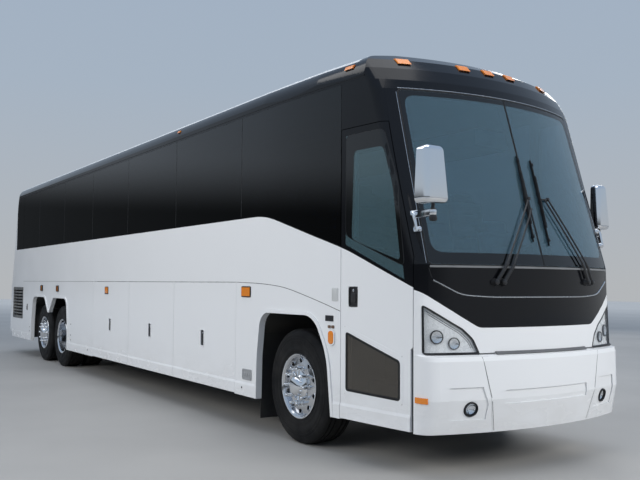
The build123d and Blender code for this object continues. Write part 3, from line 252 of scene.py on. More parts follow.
only_mirrored = maths(world, "MULTIPLY", maths(world, "MULTIPLY", *screen), not_straight)
backdrop = world.node_tree.nodes["Background"]
wall = mix_colours(world, only_mirrored, sky.outputs["Color"], SCREEN_COLOUR)
world.node_tree.links.new(wall, backdrop.inputs["Color"])
backdrop.inputs["Strength"].default_value = WALL_STRENGTH

# name, place, aim, width, height, power
softboxes = [
    ("overhead", (2, -3, 11), (0, 0, 1.5), 16, 7, 560),
    ("right_side", (4, -14, 7), (1, 0, 1.5), 12, 5, 930),
    ("front", (15, 3, 6), (5, 0, 1.5), 7, 4, 720),
    ("left_rear", (-9, 13, 8), (0, 0, 1.5), 12, 5, 750),
]
for name, place, aim, wide, tall, power in softboxes:
    lamp = bpy.data.lights.new(name, "AREA")
    lamp.shape = "RECTANGLE"
    lamp.size = wide
    lamp.size_y = tall
    lamp.energy = power
    lamp.color = LAMP_COLOUR
    holder = bpy.data.objects.new(name, lamp)
    holder.location = place
    holder.visible_glossy = name in ("overhead", "left_rear")
    holder.visible_transmission = False
    holder.rotation_euler = (Vector(aim) - Vector(place)).to_track_quat("-Z", "Y").to_euler()
    bpy.context.scene.collection.objects.link(holder)

# Underframe, axles, knuckles, engine and springs: welded steel in black chassis paint, dulled by road dust.
# The springs are moulded rubber bellows between the axle beams and the frame rails.
def dusty_finish(name, colour, roughness, dust, scale=5.0):
    """Dark finish with pale dust lying in patches and a fine cast surface."""
    material = shader_of(name)
    patches = spread(material, grain(material, scale, detail=6), 0.0, 1.0, 0.42, 0.72)
    set_tone(material, patches, (*colour, 1), (*dust, 1))
    set_gloss(material, scale * 2, roughness, roughness + 0.2)
    set_bump(material, grain(material, 90, detail=4), 0.25, 0.002)
    return material


def paint(material, *names):
    """Puts one material on each CAD node."""
    for name in names:
        nodes[name].data.materials.clear()
        nodes[name].data.materials.append(material)


chassis_paint = dusty_finish("chassis_paint", (0.022, 0.022, 0.024), 0.45, (0.09, 0.082, 0.07))
bellows_rubber = dusty_finish("bellows_rubber", (0.02, 0.02, 0.02), 0.7, (0.07, 0.065, 0.06))
liner_plastic = dusty_finish("liner_plastic", (0.016, 0.016, 0.017), 0.62, (0.05, 0.046, 0.04), 3.0)
paint(chassis_paint, "underframe", "engine_block", "front_axle", "drive_axle", "tag_axle")
paint(chassis_paint, "left_knuckle", "right_knuckle", "tie_rod")
paint(bellows_rubber, "air_springs")
paint(liner_plastic, "wheel_arch_liners")

# Floors and steps: plywood deck under dark ribbed rubber, with pale flecks in the rubber.
# The ribs run along the aisle, as pressed in the sheet.
RIB_PITCH = 0.02
floor_rubber = shader_of("floor_rubber", Roughness=0.6)
flecks = spread(floor_rubber, grain(floor_rubber, 260, detail=1), 0.0, 1.0, 0.62, 0.68)
set_tone(floor_rubber, flecks, (0.05, 0.052, 0.058, 1), (0.3, 0.3, 0.3, 1))
set_bump(floor_rubber, bands(floor_rubber, math.pi / (10 * RIB_PITCH), "Y"), 0.5, 0.002)
paint(floor_rubber, "passenger_floor", "entry_steps")

# Dashboard and overhead racks: grained mouldings, the dash near black and the racks pale grey.
# Each tone wanders a little, as on any large moulding.
def moulded(name, colour, roughness=0.5, pebble=700, depth=0.0006):
    """Grained plastic with slight changes of tone."""
    material = shader_of(name)
    tone = tuple(min(1, 1.25 * part + 0.004) for part in colour)
    patches = spread(material, grain(material, 4), 0.0, 1.0)
    set_tone(material, patches, (*colour, 1), (*tone, 1))
    set_gloss(material, 12, roughness - 0.07, roughness + 0.1)
    set_bump(material, grain(material, pebble, detail=1), 0.3, depth)
    return material


dash_plastic = moulded("dash_plastic", (0.025, 0.026, 0.028))
rack_plastic = moulded("rack_plastic", (0.32, 0.33, 0.34))
paint(dash_plastic, "dashboard")
paint(rack_plastic, "luggage_racks")

# Seats: foam pads sewn in a dark blue-grey moquette with piped channels, on moulded shells with steel legs.
# The driver's seat stands alone on its pedestal; the passengers' are joined in pairs, thirteen rows a side.
SEAT_WIDTH = 0.485
SEAT_LEAN = math.atan2(0.15, 0.70)
ROWS = 13
FRONT_ROW_X = 4.9075
ROW_PITCH = 0.82
AISLE_HALF = 0.19
CUSHION_HEIGHT = 0.45
DRIVER_X = 5.7175
DRIVER_CUSHION = 0.48
CHANNEL_DEEP = 0.014
CHANNEL_HALF = 0.016


def pad(length, width, height, crown, channels, corner=0.03):
    """Crowned pad about its own middle, length along x, with sewn channels across its upper face."""
    bm = bmesh.new()
    bmesh.ops.create_cube(bm, size=1)
    bmesh.ops.scale(bm, verts=bm.verts, vec=(length, width, height))
    bmesh.ops.bevel(bm, geom=bm.edges[:], offset=corner, segments=3, profile=0.5, affect="EDGES", material=-1)
    cuts = []
    for channel in channels:
        cuts += [(channel + shift, (1, 0, 0)) for shift in (-CHANNEL_HALF, 0, CHANNEL_HALF)]
    cuts += [(share * width, (0, 1, 0)) for share in (-0.3, 0, 0.3)]
    for place, way in cuts:
        whole = bm.verts[:] + bm.edges[:] + bm.faces[:]
        bmesh.ops.bisect_plane(bm, geom=whole, plane_co=Vector(way) * place, plane_no=way)
    for vert in bm.verts:
        across = 1 - (2 * vert.co.y / width) ** 2
        along = 1 - (2 * vert.co.x / length) ** 2
        if vert.co.z > 0:
            vert.co.z += crown * max(0, across) * (0.35 + 0.65 * max(0, along))
            if any(abs(vert.co.x - channel) < 0.002 for channel in channels):
                vert.co.z -= CHANNEL_DEEP * (0.4 + 0.6 * max(0, across))
        vert.co.y *= 1 - 0.035 * max(0, along) * (1 - across)
    return bm


moquette = shader_of("seat_moquette", Roughness=0.9, Sheen_Weight=0.35, Sheen_Roughness=0.5)
cloth_patches = spread(moquette, grain(moquette, 14), 0.0, 1.0)
set_tone(moquette, cloth_patches, (0.045, 0.06, 0.1, 1), (0.09, 0.105, 0.15, 1))
set_bump(moquette, bands(moquette, 130, "DIAGONAL", 1.5), 0.4, 0.0015)
shell_plastic = moulded("seat_shell_plastic", (0.05, 0.052, 0.058))

lean_sin, lean_cos = math.sin(SEAT_LEAN), math.cos(SEAT_LEAN)
lean_turn = Matrix(((-lean_sin, 0, lean_cos), (0, -1, 0), (lean_cos, 0, lean_sin))).to_4x4()


def seat_pads(wide, back):
    """Pads of one seat in a bmesh; its origin is at the front of the seat's foot, as high as the cushion."""
    seat = bmesh.new()
    cushion = pad(0.42, wide, 0.12, 0.022, (-0.06, 0.07))
    add_copy(seat, cushion, Matrix.Translation((0.225, 0, -0.075)))
    upright = pad(back - 0.14, wide, 0.09, 0.02, (-0.13, 0.0, 0.13))
    add_copy(seat, upright, Matrix.Translation((0.005, 0, 0.30)) @ lean_turn)
    head = pad(0.17, wide * 0.62, 0.085, 0.015, ())
    add_copy(seat, head, Matrix.Translation((-0.078, 0, back - 0.095)) @ lean_turn)
    return seat


def seat_frame(wide, height):
    """Shell behind and under the pads, and two legs with feet."""
    seat = bmesh.new()
    shell = pad(0.60, wide * 0.96, 0.03, -0.004, (), 0.012)
    add_copy(seat, shell, Matrix.Translation((-0.045, 0, 0.30)) @ lean_turn)
    under = pad(0.40, wide * 0.94, 0.03, 0.0, (), 0.012)
    add_copy(seat, under, Matrix.Translation((0.2, 0, -0.15)))
    leg = pad(0.05, 0.035, height - 0.16, 0.0, (), 0.008)
    foot = pad(0.34, 0.06, 0.02, 0.0, (), 0.006)
    arm = pad(0.30, 0.045, 0.035, 0.004, (), 0.012)
    for made, x, y, z in (
        (leg, 0.18, wide * 0.3, -0.16 - (height - 0.16) / 2),
        (foot, 0.19, wide * 0.3, 0.01 - height),
        (arm, 0.14, wide / 2 + 0.002, 0.17),
    ):
        add_copy(seat, made, *[Matrix.Translation((x, side * y, z)) for side in (-1, 1)])
    return seat


cushion_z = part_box("passenger_seats")[0][2] + CUSHION_HEIGHT
seat_places = []
for row in range(ROWS):
    for side in (-1, 1):
        for seat_number in (0, 1):
            y = side * (AISLE_HALF + 0.01 + SEAT_WIDTH * (seat_number + 0.5) + 0.02 * seat_number)
            seat_places.append(Matrix.Translation((FRONT_ROW_X - row * ROW_PITCH, y, cushion_z)))
passenger_pads = bmesh.new()
add_copy(passenger_pads, seat_pads(SEAT_WIDTH - 0.02, 0.68), *seat_places)
pads_piece = keep("passenger_seat_pads", passenger_pads, moquette, "root")
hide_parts("passenger_seats")
passenger_frames = bmesh.new()
add_copy(passenger_frames, seat_frame(SEAT_WIDTH - 0.03, CUSHION_HEIGHT), *seat_places)
keep("passenger_seat_frames", passenger_frames, shell_plastic, "root")

driver_low, driver_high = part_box("driver_seat")
driver_y = (driver_low[1] + driver_high[1]) / 2
driver_place = Matrix.Translation((DRIVER_X, driver_y, driver_low[2] + DRIVER_CUSHION))
driver_pads = bmesh.new()
add_copy(driver_pads, seat_pads(0.47, 0.70), driver_place)
driver_piece = keep("driver_seat_pads", driver_pads, moquette, "root")
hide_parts("driver_seat")
driver_frame = bmesh.new()
add_copy(driver_frame, seat_frame(0.47, DRIVER_CUSHION), driver_place)
keep("driver_seat_frame", driver_frame, shell_plastic, "root")

# Body panels: aluminium and moulded panels in two gloss coats, white below and black round the glass.
# The line between them is level along the side, dips towards the nose and crosses the front in a flat V.
BELT_LINES = ((0.0, 2.165), (-0.286, 3.4246), (-0.405, 4.1062))
BELT_BLENDS = (0.1, 0.03)
MASK_LINES = ((0.0, 1.154), (0.554, 0.780), (0.648, 0.701))
MASK_BLEND = 0.03
ROOF_EDGE = 3.425
WHITE_COAT = (0.79, 0.8, 0.81, 1)
BLACK_COAT = (0.005, 0.0055, 0.007, 1)
# the lining's near-black colour is partly painted shade, for the dim inside of the coach
LINING_AND_SHADE = (0.03, 0.031, 0.034, 1)
SKIRT_DUST = (0.5, 0.48, 0.45, 1)
DUST_FULL, DUST_NONE = 0.32, 0.75
INNER_LIMIT = -0.3
SIDES = ("right", "left")


def over_belt(material):
    x, _, z = place_of(material)
    heights = [maths(material, "MULTIPLY_ADD", x, slope, start) for slope, start in BELT_LINES]
    line = maths(material, "SMOOTH_MIN", heights[0], heights[1], BELT_BLENDS[0])
    line = maths(material, "SMOOTH_MIN", line, heights[2], BELT_BLENDS[1])
    return maths(material, "GREATER_THAN", z, line)


def over_mask(material):
    _, y, z = place_of(material)
    across = maths(material, "ABSOLUTE", y)
    heights = [maths(material, "MULTIPLY_ADD", across, slope, start) for slope, start in MASK_LINES]
    line = maths(material, "SMOOTH_MAX", heights[0], heights[1], MASK_BLEND)
    line = maths(material, "SMOOTH_MAX", line, heights[2], MASK_BLEND)
    return maths(material, "GREATER_THAN", z, line)


def under_roof_edge(material):
    _, _, z = place_of(material)
    return maths(material, "LESS_THAN", z, ROOF_EDGE)


def faces_inwards(material, middle, weights):
    """1 where a surface looks back at this middle point, as the inner side of a panel does."""
    place = add_node(material, "ShaderNodeTexCoord").outputs
    away = vector_maths(material, "SUBTRACT", place["Object"], middle)["Vector"]
    weighed = vector_maths(material, "MULTIPLY", away, weights)["Vector"]
    facing = vector_maths(material, "DOT_PRODUCT", weighed, place["Normal"])["Value"]
    return maths(material, "LESS_THAN", facing, INNER_LIMIT)


def coat(name, black_where=None, middle=(0, 0, 0), weights=(0, 1, 0)):
    """Gloss paint: white with dust near the road, black where the function says so, and a near-black lining
    inside that also paints in the shade there.
    """
    material = shader_of(name, IOR=1.37)
    _, _, z = place_of(material)
    near_road = spread(material, z, 1.0, 0.0, DUST_FULL, DUST_NONE)
    patchy = spread(material, grain(material, 3.5, (1, 1, 2.5), 6), 0.0, 0.3, 0.35, 0.75)
    dusty = maths(material, "MULTIPLY", near_road, patchy)
    colour = mix_colours(material, dusty, WHITE_COAT, SKIRT_DUST)
    gloss = spread(material, grain(material, 1.7), 0.16, 0.26)
    gloss = maths(material, "ADD", gloss, maths(material, "MULTIPLY", dusty, 0.5))
    if black_where:
        black = black_where(material)
        colour = mix_colours(material, black, colour, BLACK_COAT)
        gloss = maths(material, "SUBTRACT", gloss, maths(material, "MULTIPLY", black, 0.08))
    # Painted shade: faces turned inwards take a near-black lining colour, which stands for the lining and for
    # the shade inside the coach.
    inner = faces_inwards(material, middle, weights)
    colour = mix_colours(material, inner, colour, LINING_AND_SHADE)
    gloss = maths(material, "ADD", gloss, maths(material, "MULTIPLY", inner, 0.6))
    set_link(material, "Base Color", colour)
    set_link(material, "Roughness", gloss)
    waves = grain(material, 1.3, (1, 1, 1.6), 2)
    peel = grain(material, 240, detail=1)
    relief = maths(material, "ADD", waves, maths(material, "MULTIPLY", peel, 0.05))
    set_bump(material, relief, 0.35, 0.004)
    return material


white_coat = coat("white_coat")
side_coat = coat("side_coat", over_belt)
front_coat = coat("front_coat", over_mask, middle=(4.5, 0, 0), weights=(1, 1, 0))
bumper_coat = coat("bumper_coat", weights=(0, 0, 0))
rear_coat = coat("rear_coat", middle=(-4.5, 0, 0), weights=(1, 1, 0))
roof_coat = coat("roof_coat", under_roof_edge, middle=(0, 0, 1.8), weights=(0, 1, 1))
DOOR_PLACES = [f"{side}_{place}_bay_door" for side in SIDES for place in ("rear", "middle", "front")]
paint(white_coat, *DOOR_PLACES)
paint(bumper_coat, "front_bumper", "rear_bumper")
paint(rear_coat, "rear_cap", "engine_door")
paint(side_coat, "right_side_wall", "left_side_wall", "entry_door")
paint(front_coat, "front_cap")
paint(roof_coat, "roof_panel")

# Seams and mouldings: panel joints sealed with dark mastic, and rubber or bright strips pressed on over them.
# Each is laid on the body's own skin, which is found by looking straight at it from that face's side.
BACKWARD_FACES = ("left", "rear")
FAR_OFF = 9
BRIDGE = 0.012
SLOPE_STEP = 0.02
CORNER_STEPS = 6
SKIN_NODES = [
    "right_side_wall", "left_side_wall", "entry_door", "front_cap", "front_bumper", "rear_cap", "rear_bumper",
    "engine_door", "roof_panel", "windshield", "entry_door_glass", "right_side_windows", "left_side_windows",
    "headlamps", "tail_lamps", "radiator_grilles", *DOOR_PLACES,
]
# for each face: the axes of u, of v and of the way out, and the sign of the last
FACES = {
    "right": (0, 2, 1, -1),
    "left": (0, 2, 1, 1),
    "front": (1, 2, 0, 1),
    "rear": (1, 2, 0, -1),
}


def skin_tree(names):
    """Search tree over the triangles of these CAD nodes."""
    points, faces = [], []
    for name in names:
        mesh = nodes[name].data
        start = len(points)
        points += [vertex.co.copy() for vertex in mesh.vertices]
        faces += [[start + number for number in face.vertices] for face in mesh.polygons]
    return BVHTree.FromPolygons(points, faces)


body_skin = skin_tree(SKIN_NODES)


def reach(face, u, v):
    """How far out the first surface lies, seen from this face's side."""
    across, upward, outward, sign = FACES[face]
    start = Vector((0, 0, 0))
    start[across], start[upward], start[outward] = u, v, sign * FAR_OFF
    way = Vector((0, 0, 0))
    way[outward] = -sign
    found = body_skin.ray_cast(start, way)[0]
    return found[outward] * sign if found else -FAR_OFF


def skin_at(face, u, v):
    """As reach, with the gaps between panels bridged."""
    heights = [reach(face, u, v)]
    for du, dv in ((BRIDGE, 0), (0, BRIDGE)):
        heights.append((reach(face, u - du, v - dv) + reach(face, u + du, v + dv)) / 2)
    return max(heights)


def laid(face, u, v, lift=0.0):
    """Point at u and v on the skin, lifted along its normal."""
    across, upward, outward, sign = FACES[face]
    slopes = []
    for du, dv in ((SLOPE_STEP, 0), (0, SLOPE_STEP)):
        slopes.append((skin_at(face, u + du, v + dv) - skin_at(face, u - du, v - dv)) / (2 * SLOPE_STEP))
    normal = Vector((-slopes[0], -slopes[1], 1)).normalized()
    place = Vector((u, v, skin_at(face, u, v))) + normal * lift
    point = Vector((0, 0, 0))
    point[across], point[upward], point[outward] = place.x, place.y, sign * place.z
    return point


def lay(bm, face):
    """Bends a flat piece, made in u, v and lift, onto a face of the body."""
    for vert in bm.verts:
        vert.co = laid(face, *vert.co)
    if face in BACKWARD_FACES:
        bmesh.ops.reverse_faces(bm, faces=bm.faces[:])
    return bm


def all_laid(face, *pieces):
    """Several flat pieces, each bent onto one face of the body."""
    return [lay(piece, face) for piece in pieces]


def stand_on(bm, face, out):
    """Stands a flat piece on an upright plane this far out, where the skin is open."""
    across, upward, outward, sign = FACES[face]
    for vert in bm.verts:
        u, v, lift = vert.co
        vert.co[across], vert.co[upward], vert.co[outward] = u, v, sign * (out + lift)
    if face in BACKWARD_FACES:
        bmesh.ops.reverse_faces(bm, faces=bm.faces[:])
    return bm


def seat_on(bm, face, u, v, lift=0.0):
    """Sets a stiff piece, made about its own origin with z outwards, on the skin at u and v."""
    place = laid(face, u, v, lift)
    out = (laid(face, u, v, 0.1) - laid(face, u, v)).normalized()
    sideways = Vector((0, 0, 0))
    sideways[FACES[face][0]] = -1 if face in BACKWARD_FACES else 1
    upwards = out.cross(sideways).normalized()
    sideways = upwards.cross(out)
    turn = Matrix((sideways, upwards, out)).transposed().to_4x4()
    bmesh.ops.transform(bm, matrix=Matrix.Translation(place) @ turn, verts=bm.verts)
    return bm


def all_seated(face, place, *pieces):
    """Several stiff pieces, each set on the skin at the same place."""
    return [seat_on(piece, face, *place) for piece in pieces]


def rect(u0, u1, v0, v1):
    return [(u0, v0), (u1, v0), (u1, v1), (u0, v1)]


def around(u, v, long, deep, margin=0.0):
    """Rectangle about its middle, with a margin all round."""
    across, upward = long / 2 + margin, deep / 2 + margin
    return rect(u - across, u + across, v - upward, v + upward)


def mirrored(outline):
    return [(-u, v) for u, v in reversed(outline)]


def soften(corners, radius, closed=True):
    """Line of u, v points with each corner eased by this radius."""
    line = []
    count = len(corners)
    for number, corner in enumerate(corners):
        here = Vector(corner)
        if not closed and number in (0, count - 1):
            line.append(here)
            continue
        back = Vector(corners[number - 1]) - here
        on = Vector(corners[(number + 1) % count]) - here
        size = min(radius, back.length * 0.48, on.length * 0.48)
        start, end = here + back.normalized() * size, here + on.normalized() * size
        for step in range(CORNER_STEPS + 1):
            share = step / CORNER_STEPS
            line.append(start.lerp(here, share).lerp(here.lerp(end, share), share))
    return line


def slice_up(bm, pitch):
    """Cuts a flat piece across both ways, so that it can follow a curve."""
    for way in ((1, 0, 0), (0, 1, 0)):
        number = 0 if way[0] else 1
        low = min(vert.co[number] for vert in bm.verts)
        high = max(vert.co[number] for vert in bm.verts)
        count = math.ceil((high - low) / pitch)
        for step in range(1, count):
            place = Vector(way) * (low + (high - low) * step / count)
            whole = bm.verts[:] + bm.edges[:] + bm.faces[:]
            bmesh.ops.bisect_plane(bm, geom=whole, plane_co=place, plane_no=way)


def raise_faces(bm, low, high, edge, pitch):
    """Gives flat faces at low a thickness up to high, with eased upper edges, and slices them."""
    grown = bmesh.ops.extrude_face_region(bm, geom=bm.faces[:])["geom"]
    lifted = [item for item in grown if isinstance(item, bmesh.types.BMVert)]
    bmesh.ops.translate(bm, verts=lifted, vec=(0, 0, high - low))
    bmesh.ops.recalc_face_normals(bm, faces=bm.faces[:])
    if edge:
        rim = [line for line in bm.edges if all(vert.co.z > (low + high) / 2 for vert in line.verts)]
        rim = [line for line in rim if abs(line.calc_face_angle(0)) > 0.5]
        bmesh.ops.bevel(bm, geom=rim, offset=edge, segments=2, profile=0.5, affect="EDGES", material=-1)
    if pitch:
        slice_up(bm, pitch)
    return bm


def plate(outline, low, high, corner=0.0, edge=0.0, pitch=0.0):
    """Flat plate over an outline in u and v, its corners eased."""
    bm = bmesh.new()
    line = soften(outline, corner) if corner else outline
    bm.faces.new([bm.verts.new((u, v, low)) for u, v in line])
    return raise_faces(bm, low, high, edge, pitch)


def border(outline, width, low, high, corner=0.0, edge=0.0, pitch=0.0):
    """Flat frame of even width inside an outline in u and v."""
    bm = bmesh.new()
    line = soften(outline, corner) if corner else outline
    bm.faces.new([bm.verts.new((u, v, low)) for u, v in line])
    bm.normal_update()
    ring = bmesh.ops.inset_region(
        bm, faces=bm.faces[:], thickness=width, use_even_offset=True, use_boundary=True
    )["faces"]
    inner = [face for face in bm.faces if face not in ring]
    bmesh.ops.delete(bm, geom=inner, context="FACES")
    return raise_faces(bm, low, high, edge, pitch)


def band(outer, inner, low, high, corners=(0.0, 0.0), pitch=0.0):
    """Flat band between two outlines with as many corners each."""
    bm = bmesh.new()
    edges = []
    for outline, corner in zip((outer, inner), corners):
        line = [bm.verts.new((u, v, low)) for u, v in soften(outline, corner)]
        edges += [bm.edges.new(pair) for pair in zip(line, line[1:] + line[:1])]
    bmesh.ops.bridge_loops(bm, edges=edges)
    return raise_faces(bm, low, high, 0.0, pitch)


def bead(points, width, height, lift=0.0, closed=False, pitch=0.06):
    """Half-round strip along a line of u, v points, standing on the skin."""
    path = []
    line = [Vector(point) for point in points]
    for here, there in zip(line, line[1:] + line[:1] if closed else line[1:]):
        count = max(1, math.ceil((there - here).length / pitch))
        path += [here.lerp(there, step / count) for step in range(count)]
    if not closed:
        path.append(line[-1])
    curve = bpy.data.curves.new("strip", "CURVE")
    curve.dimensions = "3D"
    curve.twist_mode = "Z_UP"
    spline = curve.splines.new("POLY")
    spline.points.add(len(path) - 1)
    for point, place in zip(spline.points, path):
        point.co = (place.x, place.y, 0, 1)
    spline.use_cyclic_u = closed
    curve.bevel_depth = width / 2
    curve.bevel_resolution = 1
    curve.use_fill_caps = not closed
    holder = bpy.data.objects.new("strip", curve)
    mesh = bpy.data.meshes.new_from_object(holder)
    bm = bmesh.new()
    bm.from_mesh(mesh)
    bpy.data.objects.remove(holder)
    bpy.data.meshes.remove(mesh)
    bmesh.ops.scale(bm, verts=bm.verts, vec=(1, 1, 2 * height / width))
    bmesh.ops.translate(bm, verts=bm.verts, vec=(0, 0, lift))
    bmesh.ops.recalc_face_normals(bm, faces=bm.faces[:])
    return bm


mastic = shader_of("joint_mastic", Roughness=0.6)
mastic_patches = spread(mastic, grain(mastic, 30), 0.0, 1.0)
set_tone(mastic, mastic_patches, (0.035, 0.036, 0.038, 1), (0.10, 0.10, 0.10, 1))
set_bump(mastic, grain(mastic, 400, detail=1), 0.3, 0.0004)
SEAM_Z = 1.503
NOSE_SEAM = [(3.795, SEAM_Z), (4.35, 1.49), (4.7595, 1.46), (5.1015, 1.39), (5.4085, 1.319), (5.6455, 1.257)]
TAIL_SEAM = [(-5.74, SEAM_Z), (-1.08, SEAM_Z)]
for face in SIDES:
    nose_seam = bead(soften(NOSE_SEAM, 0.3, False), 0.006, 0.0008)
    seams = all_laid(face, nose_seam, bead(TAIL_SEAM, 0.005, 0.0007))
    keep(f"{face}_panel_seams", seams, mastic, "root")

# Drip rail: extruded aluminium, riveted along each side over the glass and painted with the roof.
# The bright metal made here is for the trim that follows.
DRIP_RAIL = [(-6.3, 3.262), (5.95, 3.262)]
bright_trim = shader_of("bright_trim", Metallic=1.0, Base_Color=(0.78, 0.79, 0.8, 1))
set_gloss(bright_trim, 20, 0.16, 0.32)
set_bump(bright_trim, grain(bright_trim, 300, (0.05, 1, 1), 1), 0.15, 0.0003)
for face in SIDES:
    rail = lay(bead(DRIP_RAIL, 0.014, 0.006, pitch=0.12), face)
    keep(f"{face}_drip_rail", rail, roof_coat, "root")

# Glass: laminated windshield and door panes with a blue-green tint, and near-black privacy glass elsewhere.
# All of it is bonded flush in a rebate; the entry door's low pane has a brown tint instead.
DOOR_TINT = (0.26, 0.44, 0.50, 1)
LOW_PANE_TINT = (0.24, 0.21, 0.17, 1)
LOW_PANE_TOP = 1.3


def glass(name, tint, index, clearness=1.0):
    material = shader_of(name, Base_Color=tint, IOR=index, Transmission_Weight=clearness)
    set_gloss(material, 2.2, 0.012, 0.0264, detail=4)
    set_bump(material, grain(material, 0.9, detail=1), 0.1, 0.002)
    return material


windshield_glass = glass("windshield_glass", (0.34, 0.60, 0.74, 1), 1.6, 0.9)
door_glass = glass("door_glass", DOOR_TINT, 1.5, 0.82)
privacy_glass = glass("privacy_glass", (0.02, 0.028, 0.04, 1), 1.52)
_, _, pane_height = place_of(door_glass)
low_pane = maths(door_glass, "LESS_THAN", pane_height, LOW_PANE_TOP)
set_tone(door_glass, low_pane, DOOR_TINT, LOW_PANE_TINT)
paint(windshield_glass, "windshield")
paint(door_glass, "entry_door_glass")
paint(privacy_glass, "right_side_windows", "left_side_windows")

# Window joints and borders: rubber fillers between the side panes, and a band printed round the windshield.
# The windshield also has thin bright strips at its sides and top and a black post cover down its middle.
PANE_JOINTS = (-4.5425, -2.8125, -1.2025, 0.4175, 2.1375, 3.8775)
WINDSHIELD_EDGE = [(-1.066, 1.656), (1.066, 1.656), (1.028, 3.114), (-1.028, 3.114)]
WINDSHIELD_CLEAR = [(-1.03, 1.745), (1.03, 1.745), (0.995, 3.075), (-0.995, 3.075)]
WINDSHIELD_SEAL = [(-1.076, 1.646), (1.076, 1.646), (1.036, 3.124), (-1.036, 3.124)]
seal_rubber = moulded("seal_rubber", (0.007, 0.007, 0.0075), 0.6, 500, 0.0004)
for face in SIDES:
    fillers = all_laid(face, *[bead([(x, 2.185), (x, 3.225)], 0.011, 0.0012) for x in PANE_JOINTS])
    keep(f"{face}_pane_joints", fillers, seal_rubber, "root")
printed_black = shader_of("printed_black", Base_Color=(0.004, 0.0045, 0.005, 1), IOR=1.6)
set_gloss(printed_black, 3, 0.02, 0.05)
print_band = lay(band(WINDSHIELD_EDGE, WINDSHIELD_CLEAR, 0.0003, 0.0012, (0.04, 0.10), 0.06), "front")
keep("windshield_print", print_band, printed_black, "root")
surround = all_laid(
    "front",
    bead(soften(WINDSHIELD_SEAL, 0.05), 0.016, 0.003, closed=True, pitch=0.05),
    bead([(0, 1.655), (0, 3.118)], 0.022, 0.005, pitch=0.05),
)
keep("windshield_seal", surround, seal_rubber, "root")
bright_strips = all_laid(
    "front",
    bead([(-1.088, 1.66), (-1.048, 3.10)], 0.004, 0.002, pitch=0.05),
    bead([(1.088, 1.66), (1.048, 3.10)], 0.004, 0.002, pitch=0.05),
    bead([(-1.03, 3.138), (1.03, 3.138)], 0.0045, 0.002, pitch=0.05),
)
keep("windshield_trim", bright_strips, bright_trim, "root")
sill = lay(plate(rect(-1.066, 1.066, 1.626, 1.642), 0.0, 0.006, 0.006, 0.002, 0.06), "front")
sill_plastic = moulded("sill_plastic", (0.16, 0.165, 0.17), 0.4)
keep("windshield_sill", sill, sill_plastic, "root")

# Printed border of the entry door's upper pane, and the grey upright that shows behind the pane's rear edge.
# They swing with the door.
DOOR_UPPER = [(5.7155, 1.907), (6.4225, 1.634), (6.338, 2.3), (6.177, 2.77), (5.7155, 2.77)]
DOOR_UPPER_CLEAR = [(5.7935, 1.87), (6.3775, 1.68), (6.2885, 2.292), (6.1775, 2.629), (5.8195, 2.629)]
door_print = lay(band(DOOR_UPPER, DOOR_UPPER_CLEAR, 0.0003, 0.0012, (0.04, 0.05), 0.06), "right")
keep("entry_door_prints", door_print, printed_black, "entry_door")
upright_grey = moulded("upright_grey", (0.36, 0.40, 0.40), 0.4)
upright = lay(plate(rect(5.806, 5.848, 1.895, 2.612), -0.036, -0.022, 0.0, 0.004, 0.08), "right")
keep("entry_door_upright", upright, upright_grey, "entry_door")

# Cowl trim: a bright moulding that follows the foot of the black panel between the headlamps,
# rising to both corners, pressed over two panel joints.
cowl_line = [(-1.042, 1.528), (-0.835, 1.42), (-0.753, 1.407), (-0.55, 1.395)]
cowl_line = soften(cowl_line + mirrored(cowl_line), 0.08, False)
cowl = lay(bead(cowl_line, 0.012, 0.006, pitch=0.05), "front")
keep("cowl_moulding", cowl, bright_trim, "root")
cowl_joints = all_laid(
    "front",
    bead(cowl_line, 0.020, 0.0012, pitch=0.05),
    bead([(-1.05, 1.545), (-1.072, 1.62)], 0.006, 0.001),
    bead([(1.05, 1.545), (1.072, 1.62)], 0.006, 0.001),
)
keep("cowl_joints", cowl_joints, seal_rubber, "root")

# Headlamps: a silvered dish in each corner of the nose with two round lamps in it, under a clear cover.
# The cover is bonded in a black gasket, and two thin black lines follow the dish's slanting edge.
HEADLAMP = [
    (-1.118, 1.325), (-1.122, 0.958), (-0.685, 0.958), (-0.734, 1.064), (-0.817, 1.143), (-0.896, 1.188),
]
HEADLAMP_UNITS = [(1.020, 1.085, 0.052), (0.884, 1.034, 0.046)]
UNIT_DEPTH = -0.021
# the lamps' profiles: share of the lamp's radius, and height
HEAD_RING = [
    (1.04, -0.006), (1.04, 0.012), (1, 0.016), (0.92, 0.013), (0.86, 0.002), (0.86, -0.006), (1.04, -0.006),
]
HEAD_BOWL = [
    (0, 0.002), (0.35, 0.0025), (0.65, 0.005), (0.86, 0.009), (0.86, 0.006), (0.6, 0.002), (0, -0.001),
]
HEAD_DOME = [(0, 0.012), (0.32, 0.010), (0.5, 0.005), (0.5, 0.001), (0, 0.001)]
FOG_Y, FOG_Z, FOG_RADIUS = 0.786, 0.53, 0.059
FOG_RING = [(1, -0.05), (1, 0.0), (0.96, 0.004), (0.86, 0.003), (0.72, -0.014), (0.72, -0.05), (1, -0.05)]
FOG_BOWL = [(0, -0.042), (0.4, -0.036), (0.73, -0.014), (0.74, -0.02), (0.5, -0.045), (0, -0.046)]
FOG_DOME = [(0, -0.006), (0.4, -0.009), (0.7, -0.017), (0.7, -0.021), (0, -0.016)]


def turned(profile, steps=32, radius=1.0):
    """Piece turned about its own z from a line of points: shares of this radius, and z."""
    bm = bmesh.new()
    line = [bm.verts.new((share * radius, 0, height)) for share, height in profile]
    edges = [bm.edges.new(pair) for pair in zip(line, line[1:])]
    bmesh.ops.spin(
        bm, geom=line + edges, cent=(0, 0, 0), axis=(0, 0, 1), angle=2 * math.pi, steps=steps, use_merge=True
    )
    bmesh.ops.remove_doubles(bm, verts=bm.verts[:], dist=1e-5)
    bmesh.ops.recalc_face_normals(bm, faces=bm.faces[:])
    return bm


